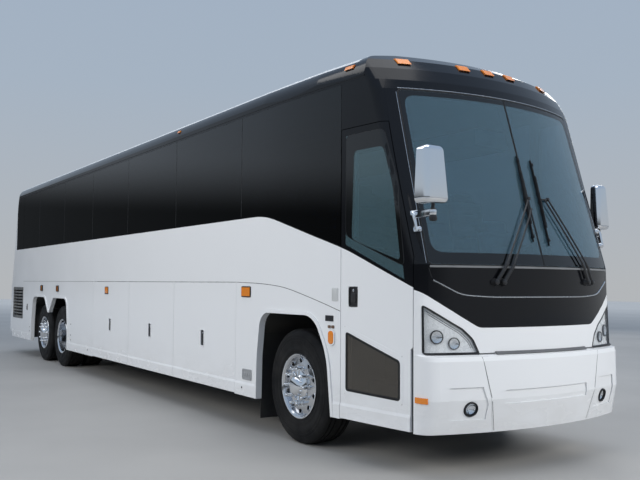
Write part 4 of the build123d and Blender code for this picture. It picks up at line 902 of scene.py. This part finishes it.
def inset_outline(outline, amount):
    """Outline moved inwards, worked out from its edges."""
    moved = []
    for before, here, after in zip(outline[-1:] + outline[:-1], outline, outline[1:] + outline[:1]):
        back = (Vector(here) - Vector(before)).normalized()
        on = (Vector(after) - Vector(here)).normalized()
        normal = Vector((-back.y - on.y, back.x + on.x)).normalized()
        size = amount / max(0.3, normal.dot(Vector((-back.y, back.x))))
        moved.append((here[0] + normal.x * size, here[1] + normal.y * size))
    return moved


dish_silver = shader_of("dish_silver", Metallic=0.1, Coat_Weight=0.3, Coat_Roughness=0.05)
dish_patches = spread(dish_silver, grain(dish_silver, 9), 0, 1)
set_tone(dish_silver, dish_patches, (0.80, 0.82, 0.83, 1), (0.82, 0.84, 0.85, 1))
set_gloss(dish_silver, 25, 0.22, 0.34)
lamp_chrome = shader_of("lamp_chrome", Metallic=1.0, Base_Color=(0.86, 0.88, 0.9, 1))
set_gloss(lamp_chrome, 16, 0.04, 0.1)
clear_cover = shader_of("clear_cover", Base_Color=(0.9, 0.93, 0.96, 1), Alpha=0.09, Metallic=0.9)
set_gloss(clear_cover, 5, 0.0, 0.03)
lamp_bezel = moulded("lamp_bezel", (0.007, 0.007, 0.008), 0.45, 500, 0.0003)

dishes, gaskets, covers, bowls, lines, lenses = [], [], [], [], [], []
for side in (1, -1):
    outline = HEADLAMP if side == 1 else mirrored(HEADLAMP)
    dishes.append(lay(plate(inset_outline(outline, 0.002), -0.034, -0.022, 0.02, 0.0, 0.05), "front"))
    gasket = border(inset_outline(outline, -0.006), 0.012, -0.04, 0.0025, 0.022, 0.0, 0.05)
    gaskets.append(lay(gasket, "front"))
    covers.append(lay(plate(inset_outline(outline, 0.006), -0.004, 0.0005, 0.018, 0.0, 0.05), "front"))
    for amount in (0.022, 0.036):
        inner = inset_outline(HEADLAMP, amount)
        slanting = soften([(side * u, v) for u, v in inner[2:] + inner[:1]], 0.03, False)
        lines.append(lay(bead(slanting, 0.004, 0.002, -0.022, pitch=0.04), "front"))
    for y, z, radius in HEADLAMP_UNITS:
        for kind, profile, steps in (
            (bowls, HEAD_BOWL, 40),
            (gaskets, HEAD_RING, 40),
            (lenses, HEAD_DOME, 32),
        ):
            kind.append(seat_on(turned(profile, steps, radius), "front", -side * y, z, UNIT_DEPTH))
for side in (-1, 1):
    for kind, profile in ((gaskets, FOG_RING), (bowls, FOG_BOWL), (covers, FOG_DOME)):
        kind.append(seat_on(turned(profile, 48, FOG_RADIUS), "front", side * FOG_Y, FOG_Z))
dish_piece = keep("headlamp_dishes", dishes, dish_silver, "root")
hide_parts("headlamps")
keep("headlamp_gaskets", gaskets, lamp_bezel, "root")
keep("headlamp_lines", lines, lamp_bezel, "root")
keep("headlamp_bowls", bowls, lamp_chrome, "root")
keep("headlamp_lenses", lenses, clear_cover, "root")
keep("headlamp_covers", covers, clear_cover, "root")

# Bumper trim: a dark grey insert let into the ledge on top, and dark joints where the end pieces meet
# the middle one and where the nose comes down on the bumper.
insert_plastic = moulded("insert_plastic", (0.11, 0.112, 0.115), 0.5)
insert = lay(plate(rect(-0.54, 0.54, 0.942, 0.966), 0.0, 0.008, 0.006, 0.002, 0.06), "front")
keep("bumper_insert", insert, insert_plastic, "root")
joints = []
for side in (-1, 1):
    joints += all_laid(
        "front",
        bead([(side * 0.5535, 0.35), (side * 0.6935, 0.93)], 0.005, 0.0008, pitch=0.04),
        bead([(side * 0.545, 0.955), (side * 0.70, 0.953)], 0.007, 0.001, pitch=0.04),
    )
keep("bumper_joints", joints, mastic, "root")

# Marker lamps: amber lenses on the brow and along the sides and red ones at the back, fluted inside.
# The ones on the sides sit in black moulded bezels, and the two on the rear bay doors move with them.
RED_BEHIND = -6.2
SIDE_MARKERS = [(4.0125, 1.405, 0.180, 0.090), (-3.1225, 1.375, 0.09, 0.09), (-4.2225, 1.375, 0.09, 0.09)]
DOOR_MARKER = (-0.4375, 1.372, 0.13, 0.09)
BEZEL_MARGIN = 0.011
BEZEL_WIDTH = 0.0105
lens_amber = shader_of("lens_amber", Coat_Weight=0.6, Coat_Roughness=0.04, IOR=1.5)
lens_x, _, _ = place_of(lens_amber)
fluting = bands(lens_amber, 40, "X")
amber = mix_colours(lens_amber, fluting, (0.66, 0.16, 0.008, 1), (0.88, 0.30, 0.022, 1))
at_rear = maths(lens_amber, "LESS_THAN", lens_x, RED_BEHIND)
set_tone(lens_amber, at_rear, amber, (0.5, 0.012, 0.012, 1))
set_gloss(lens_amber, 20, 0.12, 0.22)
set_bump(lens_amber, fluting, 0.3, 0.001)
paint(lens_amber, "marker_lamps")
for face in SIDES:
    bezels = []
    for marker in SIDE_MARKERS:
        proud = 0.024 if marker[0] < 0 else 0.009
        bezels.append(border(around(*marker, BEZEL_MARGIN), BEZEL_WIDTH, -0.002, proud, 0.02, 0.003, 0.06))
    keep(f"{face}_marker_bezels", all_laid(face, *bezels), lamp_bezel, "root")
    oval_lens = plate(rect(5.4925, 5.5675, 0.968, 1.082), -0.001, 0.0155, 0.038, 0.003, 0.05)
    keep(f"{face}_oval_lens", lay(oval_lens, face), lens_amber, "root")
    ring_edges = (rect(5.481, 5.579, 0.956, 1.094), rect(5.492, 5.568, 0.967, 1.083))
    oval_ring = band(*ring_edges, -0.002, 0.0125, (0.045, 0.038), 0.06)
    keep(f"{face}_oval_ring", lay(oval_ring, face), white_coat, "root")
    door = f"{face}_rear_bay_door"
    lens = lay(plate(around(*DOOR_MARKER), 0.0, 0.011, 0.016, 0.004, 0.05), face)
    keep(f"{face}_door_marker", lens, lens_amber, door)
    bezel = lay(border(around(*DOOR_MARKER, BEZEL_MARGIN), BEZEL_WIDTH, 0.0, 0.009, 0.02, 0.003, 0.06), face)
    keep(f"{face}_door_marker_bezel", bezel, lamp_bezel, door)

# Tail lamps: three round units a side on a red base, the lowest one clear for reversing.
# Each has a bright ring, a ribbed lens and a dark gasket round the base.
TAIL_Y = 1.04
TAIL_HEIGHTS = (1.4, 1.24, 1.08)
TAIL_RADIUS = 0.062
TAIL_BASE = rect(0.945, 1.135, 1.0, 1.48)
TAIL_RING = [(1, -0.002), (1, 0.008), (0.93, 0.011), (0.87, 0.008), (0.87, -0.002), (1, -0.002)]
TAIL_DOME = [(0, 0.012), (0.5, 0.0105), (0.86, 0.005), (0.86, -0.002), (0, -0.002)]
lens_red = shader_of("lens_red", Coat_Weight=0.6, Coat_Roughness=0.05, IOR=1.5)
red_ribs = bands(lens_red, 45, "Z")
set_tone(lens_red, red_ribs, (0.32, 0.006, 0.006, 1), (0.55, 0.02, 0.015, 1))
set_gloss(lens_red, 20, 0.12, 0.22)
set_bump(lens_red, red_ribs, 0.3, 0.001)
paint(lens_red, "tail_lamps")
tail_rings, tail_lenses, reverse_lenses, tail_gaskets = [], [], [], []
for side in (-1, 1):
    for z in TAIL_HEIGHTS:
        tail_rings.append(seat_on(turned(TAIL_RING, 40, TAIL_RADIUS), "rear", side * TAIL_Y, z))
        kind = reverse_lenses if z == min(TAIL_HEIGHTS) else tail_lenses
        kind.append(seat_on(turned(TAIL_DOME, 40, TAIL_RADIUS), "rear", side * TAIL_Y, z))
    outline = inset_outline(TAIL_BASE if side == 1 else mirrored(TAIL_BASE), -0.004)
    tail_gaskets.append(lay(border(outline, 0.010, -0.002, 0.004, 0.015, 0.001, 0.06), "rear"))
keep("tail_lamp_rings", tail_rings, lamp_chrome, "root")
keep("tail_lamp_lenses", tail_lenses, lens_red, "root")
keep("reversing_lenses", reverse_lenses, clear_cover, "root")
keep("tail_lamp_gaskets", tail_gaskets, seal_rubber, "root")

# Entry door fittings: a painted frame round the low window, rubber round both panes, and a cupped black
# handle with its lock, which swing with the door. A dark rubber lip on the body fills the gap in front of it,
# set back so that it also paints in the gap's shade.
DOOR_LOWER = [(5.7075, 0.56), (6.3995, 0.545), (6.3995, 0.925), (5.7075, 1.13)]
DOOR_LOWER_FRAME = [(5.726, 0.587), (6.376, 0.573), (6.376, 0.886), (5.726, 1.086)]
HANDLE = (5.8155, 1.3835)
handle_plastic = moulded("handle_plastic", (0.016, 0.016, 0.018), 0.38, 500, 0.0003)
low_frame = band(inset_outline(DOOR_LOWER, -0.007), DOOR_LOWER_FRAME, -0.001, 0.002, (0.045, 0.035), 0.06)
keep("entry_door_low_frame", lay(low_frame, "right"), white_coat, "entry_door")
door_rubber = all_laid(
    "right",
    bead(soften(DOOR_UPPER, 0.06), 0.006, 0.0014, closed=True),
    border(inset_outline(DOOR_LOWER_FRAME, -0.002), 0.020, -0.001, 0.005, 0.035, 0.002, 0.06),
)
keep("entry_door_seals", door_rubber, seal_rubber, "entry_door")
# Painted shade: the dark lip sits back in the door gap so that the gap looks shaded.
gap_shade_lip = stand_on(plate(rect(6.488, 6.5135, 0.352, 0.98), -0.032, -0.014), "right", 1.158)
keep("entry_door_gap_shade", gap_shade_lip, seal_rubber, "root")
cup = all_seated(
    "right",
    HANDLE,
    plate(rect(-0.056, 0.056, -0.083, 0.083), 0.0, 0.004, 0.03, 0.0015),
    border(rect(-0.061, 0.061, -0.088, 0.088), 0.014, -0.002, 0.0145, 0.034, 0.004),
    plate(rect(-0.034, 0.034, -0.052, 0.030), 0.003, 0.013, 0.02, 0.004),
)
keep("entry_door_handle", cup, handle_plastic, "entry_door")
barrel = turned([(0, 0.010), (0.009, 0.010), (0.012, 0.007), (0.012, 0.0), (0, 0.0)], 24)
lock = seat_on(barrel, "right", HANDLE[0], HANDLE[1] + 0.052, 0.004)
keep("entry_door_lock", lock, bright_trim, "entry_door")

# Bay door handles: cupped black pulls in a rounded white bezel, with a lock barrel over each.
# They swing up with the doors.
BAY_HANDLES = {"rear": -0.2625, "middle": 1.3275, "front": 2.9575}
HANDLE_Z = 0.87
BEZEL_LIFT = 0.012
LOCK_RISE = 0.055
for face in SIDES:
    for place, x in BAY_HANDLES.items():
        body = f"{face}_{place}_bay_door"
        black = all_seated(
            face,
            (x, HANDLE_Z),
            plate(rect(-0.043, 0.043, -0.088, 0.088), 0.0, 0.003, 0.02, 0.001),
            plate(rect(-0.026, 0.026, -0.055, 0.020), 0.002, 0.0115, 0.016, 0.004),
        )
        keep(f"{body}_handle", black, handle_plastic, body)
        bezel = border(rect(-0.056, 0.056, -0.101, 0.101), 0.016, -0.003, 0.004, 0.03, 0.002)
        bezel = seat_on(bezel, face, x, HANDLE_Z, BEZEL_LIFT)
        keep(f"{body}_bezel", bezel, white_coat, body)
        pin = turned([(0, 0.009), (0.008, 0.009), (0.010, 0.006), (0.010, 0.0), (0, 0.0)], 20)
        pin = seat_on(pin, face, x, HANDLE_Z + LOCK_RISE, 0.003)
        keep(f"{body}_lock", pin, bright_trim, body)

# Side fittings: a blank plate, a small vent and two cable clips by the door; a service port, a latch and
# studs along the skirt of both sides. They're screwed on; the plate and the port are pressed metal.
PORT = (4.05, 0.56)
PORT_SLOTS = (4.0, 4.05, 4.1)
VENT_SLATS = (1.173, 1.187, 1.201)
STUDS = (
    (-2.28, 0.52), (-2.28, 0.60), (-5.12, 0.52), (-5.12, 0.60), (-2.28, 0.78), (-1.3, 0.42), (3.95, 0.42),
)
STUD_PROFILE = [(0, 0.005), (0.008, 0.004), (0.012, 0.0), (0, 0.0)]
fitting_grey = moulded("fitting_grey", (0.30, 0.31, 0.32), 0.4)
plate_grey = moulded("plate_grey", (0.5, 0.51, 0.51), 0.35)
fitting_brown = moulded("fitting_brown", (0.12, 0.07, 0.045), 0.5)
wall_plate = all_laid(
    "right",
    plate(rect(5.530, 5.618, 1.342, 1.458), 0.0, 0.004, 0.012, 0.0015, 0.05),
    border(rect(5.541, 5.607, 1.353, 1.447), 0.004, 0.003, 0.0055, 0.008, 0.001, 0.05),
)
keep("wall_plate", wall_plate, plate_grey, "root")
vent = all_laid(
    "right",
    *[plate(rect(5.447, 5.547, foot, foot + 0.008), 0.0, 0.006, 0.003, 0.002) for foot in VENT_SLATS],
    border(rect(5.440, 5.554, 1.165, 1.215), 0.006, 0.0, 0.005, 0.006, 0.001),
    plate(rect(5.444, 5.550, 1.168, 1.212), 0.0, 0.0015, 0.004),
)
keep("wall_vent", vent, handle_plastic, "root")
clips = [plate(around(x, 1.1175, 0.032, 0.025), 0.0, 0.012, 0.008, 0.003) for x in (5.50, 5.55)]
keep("wall_clips", all_laid("right", *clips), fitting_brown, "root")
for face in SIDES:
    port = all_laid(
        face,
        border(around(*PORT, 0.2, 0.11), 0.016, 0.0, 0.007, 0.02, 0.003, 0.05),
        plate(around(*PORT, 0.18, 0.09), 0.0, 0.002, 0.012, 0.0, 0.05),
        *[plate(around(x, PORT[1], 0.032, 0.04), 0.0, 0.007, 0.008, 0.002) for x in PORT_SLOTS],
    )
    keep(f"{face}_service_port", port, fitting_grey, "root")
    latch = all_laid(
        face,
        plate(rect(-5.395, -5.335, 0.92, 1.05), 0.0, 0.004, 0.018, 0.0015),
        plate(rect(-5.382, -5.348, 0.945, 1.01), 0.003, 0.012, 0.012, 0.003),
    )
    keep(f"{face}_rear_latch", latch, handle_plastic, "root")
    studs = [seat_on(turned(STUD_PROFILE, 12), face, x, z) for x, z in STUDS]
    keep(f"{face}_panel_studs", studs, handle_plastic, "root")

# Radiator grilles: pressed slats in a frame, painted dull grey, with the dark core behind them.
# The frame has a rolled lip that laps the wall.
GRILLE = (-6.16, 1.06, 0.835, 0.62)
LIP_MARGIN = 0.012
CORE_MARGIN = -0.02
SIDE_Y = 1.295
grille_paint = dusty_finish("grille_paint", (0.10, 0.105, 0.11), 0.4, (0.22, 0.21, 0.19), 6.0)
paint(grille_paint, "radiator_grilles")
for face in SIDES:
    lip = stand_on(border(around(*GRILLE, LIP_MARGIN), 0.03, 0.0, 0.006, 0.03, 0.002), face, SIDE_Y)
    keep(f"{face}_grille_lip", lip, grille_paint, "root")
    core = stand_on(plate(around(*GRILLE, CORE_MARGIN), -0.075, -0.065), face, SIDE_Y)
    keep(f"{face}_grille_core", core, liner_plastic, "root")

# Rear fittings: a pressed aluminium frame for the plate, left bare, and a cupped pull on the engine door.
# The pull lifts with the door.
plate_frame = all_laid(
    "rear",
    border(rect(-0.17, 0.17, 0.60, 0.78), 0.012, 0.0, 0.006, 0.012, 0.002, 0.06),
    plate(rect(-0.16, 0.16, 0.61, 0.77), 0.0, 0.002, 0.006),
)
keep("rear_plate_frame", plate_frame, fitting_grey, "root")
engine_pull = all_seated(
    "rear",
    (0.0, 1.0),
    plate(rect(-0.08, 0.08, -0.028, 0.028), 0.0, 0.004, 0.02, 0.0015),
    plate(rect(-0.055, 0.055, -0.012, 0.014), 0.003, 0.012, 0.01, 0.003),
)
keep("engine_door_pull", engine_pull, handle_plastic, "engine_door")

# Roof hatches: moulded lids with a raised middle and four ribs along it.
# Each lid swings on its front edge.
RIBS = 4
for name in ("front_roof_hatch", "rear_roof_hatch"):
    (x0, y0, foot), (x1, y1, top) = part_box(name)
    lid = [
        plate(rect(x0, x1, y0, y1), foot, top - 0.016, 0.03, 0.006),
        plate(rect(x0 + 0.06, x1 - 0.06, y0 + 0.06, y1 - 0.06), top - 0.018, top - 0.008, 0.05, 0.005),
    ]
    for row in range(RIBS):
        y = y0 + 0.14 + row * (y1 - y0 - 0.28) / (RIBS - 1)
        rib = rect(x0 + 0.11, x1 - 0.11, y - 0.018, y + 0.018)
        lid.append(plate(rib, top - 0.010, top - 0.001, 0.016, 0.004))
    lid_piece = keep(f"{name}_lid", lid, white_coat, name)
    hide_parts(name)

# Mirrors: tall chromed heads, narrower at the top, held by a flat two-part bracket clamped to the pillar.
# A black joint under each head lets it turn; the silvered glass faces back inside a dark rubber edge.
MIRROR_HEADS = (("right", -1, 6.888, 1.284, 2.305, 0.144, 0.236), ("left", 1, 6.3745, 1.31, 2.25, 0.11, 0.18))
HEAD_HEIGHT = 0.436
TOP_SHARE = 0.80
NOSE_SHARE = 0.55
CLAMP_Y = 1.105
BOLT_Y = 1.088
BOLT = [(0, 0.012), (0.007, 0.011), (0.010, 0.007), (0.010, 0.0), (0, 0.0)]
COLLAR = [(0, 0.02), (0.024, 0.02), (0.027, 0.016), (0.027, -0.016), (0.024, -0.02), (0, -0.02)]
STEM = [(0, 0.066), (0.013, 0.066), (0.014, 0.03), (0.022, 0.026), (0.022, 0.02), (0, 0.02)]
BALL = [(0, -0.02), (0.024, -0.02), (0.030, -0.032), (0.030, -0.052), (0.022, -0.064), (0, -0.068)]
mirror_chrome = shader_of("mirror_chrome", Metallic=1.0, Base_Color=(0.88, 0.89, 0.9, 1))
set_gloss(mirror_chrome, 10, 0.03, 0.09)
set_bump(mirror_chrome, grain(mirror_chrome, 6, detail=1), 0.06, 0.003)


def flat_bar(start, end, tall, thick):
    """Bar on edge between two points, with eased edges."""
    along = end - start
    bar = bmesh.new()
    bmesh.ops.create_cube(bar, size=1)
    bmesh.ops.scale(bar, verts=bar.verts, vec=(along.length, thick, tall))
    ease = min(tall, thick) * 0.3
    bmesh.ops.bevel(bar, geom=bar.edges[:], offset=ease, segments=3, profile=0.5, affect="EDGES", material=-1)
    turn = along.to_track_quat("X", "Z").to_matrix().to_4x4()
    bmesh.ops.transform(bar, matrix=Matrix.Translation((start + end) / 2) @ turn, verts=bar.verts[:])
    return bar


def mirror_shell(deep, wide):
    """Head about its own middle, narrowed at the top and rounded in front."""
    head = bmesh.new()
    bmesh.ops.create_cube(head, size=1)
    bmesh.ops.scale(head, verts=head.verts, vec=(deep, wide, HEAD_HEIGHT))
    for vert in head.verts:
        if vert.co.z > 0:
            vert.co.y *= TOP_SHARE
            if vert.co.x > 0:
                vert.co.x *= NOSE_SHARE
    front = [line for line in head.edges if max(line.verts[0].co.x, line.verts[1].co.x) > 0]
    bmesh.ops.bevel(head, geom=front, offset=0.046, segments=7, profile=0.5, affect="EDGES", material=-1)
    return head


for side_name, side, x, mirror_y, z, deep, wide in MIRROR_HEADS:
    head = mirror_shell(deep, wide)
    bmesh.ops.translate(head, verts=head.verts[:], vec=(x, side * mirror_y, z))
    keep(f"{side_name}_mirror_head", head, mirror_chrome, "root")
    low_half, top_half = wide / 2 - 0.008, wide * TOP_SHARE / 2 - 0.008
    tall_half = HEAD_HEIGHT / 2 - 0.010
    outline = [(-low_half, -tall_half), (low_half, -tall_half), (top_half, tall_half), (-top_half, tall_half)]
    facing = Matrix(((0, 0, -1), (-1, 0, 0), (0, 1, 0))).to_4x4()
    for made, name, material, slot in (
        (border(outline, 0.012, 0.0, 0.005, 0.04, 0.0015), "edge", seal_rubber, "rubber"),
        (plate(inset_outline(outline, 0.009), 0.0, 0.002, 0.032), "glass", lamp_chrome, "chrome"),
    ):
        place = Matrix.Translation((x - deep / 2, side * mirror_y, z)) @ facing
        bmesh.ops.transform(made, matrix=place, verts=made.verts[:])
        keep(f"{side_name}_mirror_{name}", made, material, "root")
    foot_z = z - HEAD_HEIGHT / 2 - 0.062
    foot = laid("front", side * CLAMP_Y, foot_z + 0.012, 0.018)
    low_foot = laid("front", side * CLAMP_Y, foot_z - 0.105, 0.018)
    top = Vector((x - 0.01, side * (mirror_y - 0.012), foot_z))
    strap_ends = foot + Vector((0, side * 0.012, 0.014)), low_foot + Vector((0, side * 0.012, -0.012))
    bars = [flat_bar(foot, top, 0.056, 0.028), flat_bar(*strap_ends, 0.022, 0.026)]
    for place_z in (foot_z + 0.026, foot_z - 0.105):
        clamp = plate(rect(-0.034, 0.034, -0.02, 0.02), -0.002, 0.024, 0.012, 0.004)
        bars.append(seat_on(clamp, "front", side * CLAMP_Y, place_z))
        bars.append(seat_on(turned(BOLT, 12), "front", side * BOLT_Y, place_z, 0.023))
    collar = turned(COLLAR, 28)
    bmesh.ops.translate(collar, verts=collar.verts[:], vec=top)
    keep(f"{side_name}_mirror_bracket", [*bars, collar], mirror_chrome, "root")
    joint = joined(turned(STEM, 28), turned(BALL, 28))
    bmesh.ops.translate(joint, verts=joint.verts[:], vec=top)
    joint_piece = keep(f"{side_name}_mirror_joint", joint, handle_plastic, "root")
    if side == -1:
        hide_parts("mirrors")

# Wipers: two parallel arms from the pivots on the cowl to a bracket, which carries a long sprung blade.
# The arms are black-painted steel rods; each blade is a thin rubber lip in a pressed carrier with claws.
WIPER_ARMS = [
    ((-0.529, 1.514), (-0.030, 2.212)),
    ((-0.459, 1.514), (-0.022, 2.126)),
    ((0.663, 1.521), (0.219, 2.222)),
    ((0.593, 1.521), (0.172, 2.219)),
]
BRACKET = [(0.219, 2.222), (0.127, 2.215)]
WIPER_BLADES = [((-0.074, 1.847), (-0.022, 2.602)), ((0.110, 1.822), (0.142, 2.577))]
# where each layer of a blade starts and ends along it, its width, height and lift
BLADE_LAYERS = (
    (0, 1, 0.007, 0.010, 0.010),
    (0.04, 0.96, 0.012, 0.004, 0.020),
    (0.2, 0.8, 0.014, 0.005, 0.029),
)
CLAWS = (0.06, 0.22, 0.40, 0.5, 0.60, 0.78, 0.94)
SLEEVE_SHARE = 0.22
PIVOT = [(0, 0.046), (0.016, 0.045), (0.022, 0.040), (0.024, 0.024), (0.030, 0.010), (0.033, 0.0), (0, 0.0)]
ARM_HEAD = [(0, 0.046), (0.014, 0.045), (0.016, 0.03), (0.016, 0.012), (0, 0.012)]
wiper_steel = moulded("wiper_steel", (0.014, 0.014, 0.015), 0.32, 500, 0.0003)
arms = [lay(bead(line, 0.016, 0.007, 0.034, pitch=0.08), "front") for line in (*WIPER_ARMS, BRACKET)]
for start, end in WIPER_ARMS:
    sleeve = [Vector(start), Vector(start).lerp(Vector(end), SLEEVE_SHARE)]
    arms.append(lay(bead(sleeve, 0.030, 0.010, 0.032, pitch=0.05), "front"))
    arms.append(seat_on(turned(PIVOT, 28), "front", *start))
for _, end in WIPER_ARMS[::2]:
    arms.append(seat_on(turned(ARM_HEAD, 20), "front", *end))
blades = []
for start, end in WIPER_BLADES:
    low, high = Vector(start), Vector(end)
    for first, last, width, height, lift in BLADE_LAYERS:
        strip = bead([low.lerp(high, first), low.lerp(high, last)], width, height, lift, pitch=0.06)
        blades.append(lay(strip, "front"))
    for share in CLAWS:
        claw = plate(rect(-0.008, 0.008, -0.013, 0.013), 0.004, 0.030, 0.004, 0.002)
        blades.append(seat_on(claw, "front", *low.lerp(high, share)))
arm_piece = keep("wiper_arms", arms, wiper_steel, "root")
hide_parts("wipers")
keep("wiper_blades", blades, seal_rubber, "root")

# Tyres: moulded rubber with a ribbed sidewall, a bead ridge and four grooves round the tread.
# The drive wheels carry two each; dust lies on the tread and in the ribs.
# half a section from bead to tread: radius, and distance out from the tyre's middle
TYRE_HALF_PROFILE = [
    (0.287, 0.133), (0.296, 0.139), (0.310, 0.141), (0.322, 0.147), (0.331, 0.146), (0.333, 0.1495),
    (0.345, 0.150), (0.360, 0.1525), (0.362, 0.1515), (0.385, 0.1545), (0.405, 0.1565), (0.424, 0.1568),
    (0.426, 0.1548), (0.446, 0.1532), (0.448, 0.1555), (0.458, 0.1545), (0.460, 0.1512), (0.474, 0.1492),
    (0.476, 0.1512), (0.494, 0.1488), (0.509, 0.1435), (0.524, 0.133), (0.5335, 0.1165), (0.5347, 0.094),
    (0.521, 0.0925), (0.521, 0.0835), (0.535, 0.082), (0.535, 0.047), (0.521, 0.0455), (0.521, 0.0365),
    (0.535, 0.035),
]
TWIN_SPACING = 0.35
TYRE_Y = 1.058
WHEEL_RADIUS = 0.535
WHEELS = [
    (f"{place}_{side_name}", x, side, place == "drive")
    for place, x in (("front", 4.9075), ("drive", -3.1025), ("tag", -4.3225))
    for side_name, side in (("right", -1), ("left", 1))
]
tyre_rubber = shader_of("tyre_rubber", Specular_IOR_Level=0.22)
wall_dust = spread(tyre_rubber, grain(tyre_rubber, 3.0, detail=6), 0.0, 0.8, 0.35, 0.75)
set_tone(tyre_rubber, wall_dust, (0.007, 0.007, 0.0075, 1), (0.022, 0.021, 0.02, 1))
set_gloss(tyre_rubber, 8, 0.5, 0.78)
set_bump(tyre_rubber, grain(tyre_rubber, 120, detail=4), 0.3, 0.0012)


def on_axle(bm, x, side, y=TYRE_Y):
    """Puts a piece made about its own z, outwards, on a wheel's axis."""
    turn = Matrix(((side * -1, 0, 0), (0, 0, side), (0, 1, 0))).to_4x4()
    bmesh.ops.transform(bm, matrix=Matrix.Translation((x, side * y, WHEEL_RADIUS)) @ turn, verts=bm.verts[:])
    return bm


other_half = [(radius, -out) for radius, out in reversed(TYRE_HALF_PROFILE)]
whole_profile = TYRE_HALF_PROFILE + other_half + TYRE_HALF_PROFILE[:1]
for name, x, side, twin in WHEELS:
    tyres = [on_axle(turned(whole_profile, 96), x, side)]
    if twin:
        tyres.append(on_axle(turned(whole_profile, 96), x, side, TYRE_Y - TWIN_SPACING))
    tyre_piece = keep(f"{name}_tyre_rubber", tyres, tyre_rubber, f"{name}_wheel")
    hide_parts(f"{name}_tyre")

# Rims: forged aluminium discs, machined bright outside and dull in the barrel, with ten hand holes; the
# barrel's near-black colour is painted shade.
# Chromed caps stand over the ten nuts; a domed chrome cover hides the hub, or a dark one on the twins.
NUTS = 10
NUT_CIRCLE = 0.1675
HOLE_CIRCLE = 0.236
HOLE_LEAN = -0.22
HOLE_OUT = 0.1195
SINGLE_BARREL = 1.118
TWIN_BARREL = 0.855
DRIVE_WHEELS_X = (-3.7, 0.0)
NUT_CAP = [
    (0, 0.086), (0.009, 0.084), (0.0135, 0.077), (0.0165, 0.064), (0.0175, 0.018), (0.0205, 0.014),
    (0.0205, 0.0), (0, 0.0),
]
RIM_LIP = [
    (0.2885, 0.1475), (0.296, 0.1525), (0.3035, 0.1515), (0.305, 0.147), (0.300, 0.142), (0.29, 0.142),
    (0.2885, 0.1475),
]
SINGLE_COVER = [
    (0, 0.2205), (0.035, 0.219), (0.062, 0.213), (0.080, 0.203), (0.090, 0.188), (0.0935, 0.168),
    (0.098, 0.160), (0.125, 0.147), (0.1365, 0.141), (0.139, 0.134), (0.1365, 0.130), (0, 0.130),
]
TWIN_COVER = [
    (0, 0.045), (0.035, 0.044), (0.045, 0.038), (0.05, 0.02), (0.075, 0.014), (0.086, 0.0), (0.094, -0.06),
    (0.108, -0.105), (0.125, -0.146), (0, -0.146),
]
HOLE_EDGE = [
    (0.0225, 0.0), (0.0225, 0.006), (0.0265, 0.007), (0.0295, 0.003), (0.0295, -0.01), (0.0225, -0.01),
    (0.0225, 0.0),
]
rim_metal = shader_of("rim_metal", Metallic=1.0)
rim_x, rim_y, _ = place_of(rim_metal)
rim_out = maths(rim_metal, "ABSOLUTE", rim_y)
past_tag = maths(rim_metal, "GREATER_THAN", rim_x, DRIVE_WHEELS_X[0])
behind_front = maths(rim_metal, "LESS_THAN", rim_x, DRIVE_WHEELS_X[1])
at_twin = maths(rim_metal, "MULTIPLY", past_tag, behind_front)
# Painted shade: the barrel inside each rim, deeper in on the twins, is coloured near black for the shade deep
# in the wheel, and made rougher.
in_single = maths(rim_metal, "LESS_THAN", rim_out, SINGLE_BARREL)
in_single = maths(rim_metal, "MULTIPLY", in_single, maths(rim_metal, "SUBTRACT", 1.0, at_twin))
in_twin = maths(rim_metal, "MULTIPLY", at_twin, maths(rim_metal, "LESS_THAN", rim_out, TWIN_BARREL))
shaded = maths(rim_metal, "MAXIMUM", in_single, in_twin)
rim_tone = spread(rim_metal, grain(rim_metal, 7), 0, 1)
bright = mix_colours(rim_metal, rim_tone, (0.66, 0.67, 0.69, 1), (0.74, 0.75, 0.77, 1))
set_tone(rim_metal, shaded, bright, (0.035, 0.033, 0.03, 1))
rim_rough = spread(rim_metal, grain(rim_metal, 5, detail=5), 0.10, 0.2)
shade_rough = maths(rim_metal, "MULTIPLY", shaded, 0.4)
set_link(rim_metal, "Roughness", maths(rim_metal, "ADD", rim_rough, shade_rough))
set_bump(rim_metal, grain(rim_metal, 40, (1, 0.1, 1), 2), 0.08, 0.001)
hub_paint = dusty_finish("hub_paint", (0.03, 0.03, 0.032), 0.3, (0.12, 0.11, 0.095))
for name, x, side, twin in WHEELS:
    wheel = f"{name}_wheel"
    paint(rim_metal, f"{name}_rim")
    stand = -0.150 if twin else 0.129
    caps = []
    for number in range(NUTS):
        turn = 2 * math.pi * number / NUTS
        cap = turned(NUT_CAP, 14)
        place = (NUT_CIRCLE * math.cos(turn), NUT_CIRCLE * math.sin(turn), stand)
        bmesh.ops.translate(cap, verts=cap.verts[:], vec=place)
        caps.append(cap)
    caps.append(turned(RIM_LIP, 96))
    hub = on_axle(turned(TWIN_COVER if twin else SINGLE_COVER, 64), x, side)
    if twin:
        keep(f"{name}_hub_cover", hub, hub_paint, wheel)
    else:
        keep(f"{name}_hub_cover", hub, mirror_chrome, wheel)
    keep(f"{name}_wheel_caps", on_axle(joined(*caps), x, side), mirror_chrome, wheel)
    if not twin:
        edges = []
        for number in range(NUTS):
            turn = 2 * math.pi * (number + 0.5) / NUTS
            edge = turned(HOLE_EDGE, 20)
            leant = Matrix.Translation((HOLE_CIRCLE, 0, HOLE_OUT)) @ Matrix.Rotation(HOLE_LEAN, 4, "Y")
            bmesh.ops.transform(edge, matrix=Matrix.Rotation(turn, 4, "Z") @ leant, verts=edge.verts[:])
            edges.append(edge)
        hole_edges = on_axle(joined(*edges), x, side)
        keep(f"{name}_hand_hole_edges", hole_edges, rim_metal, wheel)
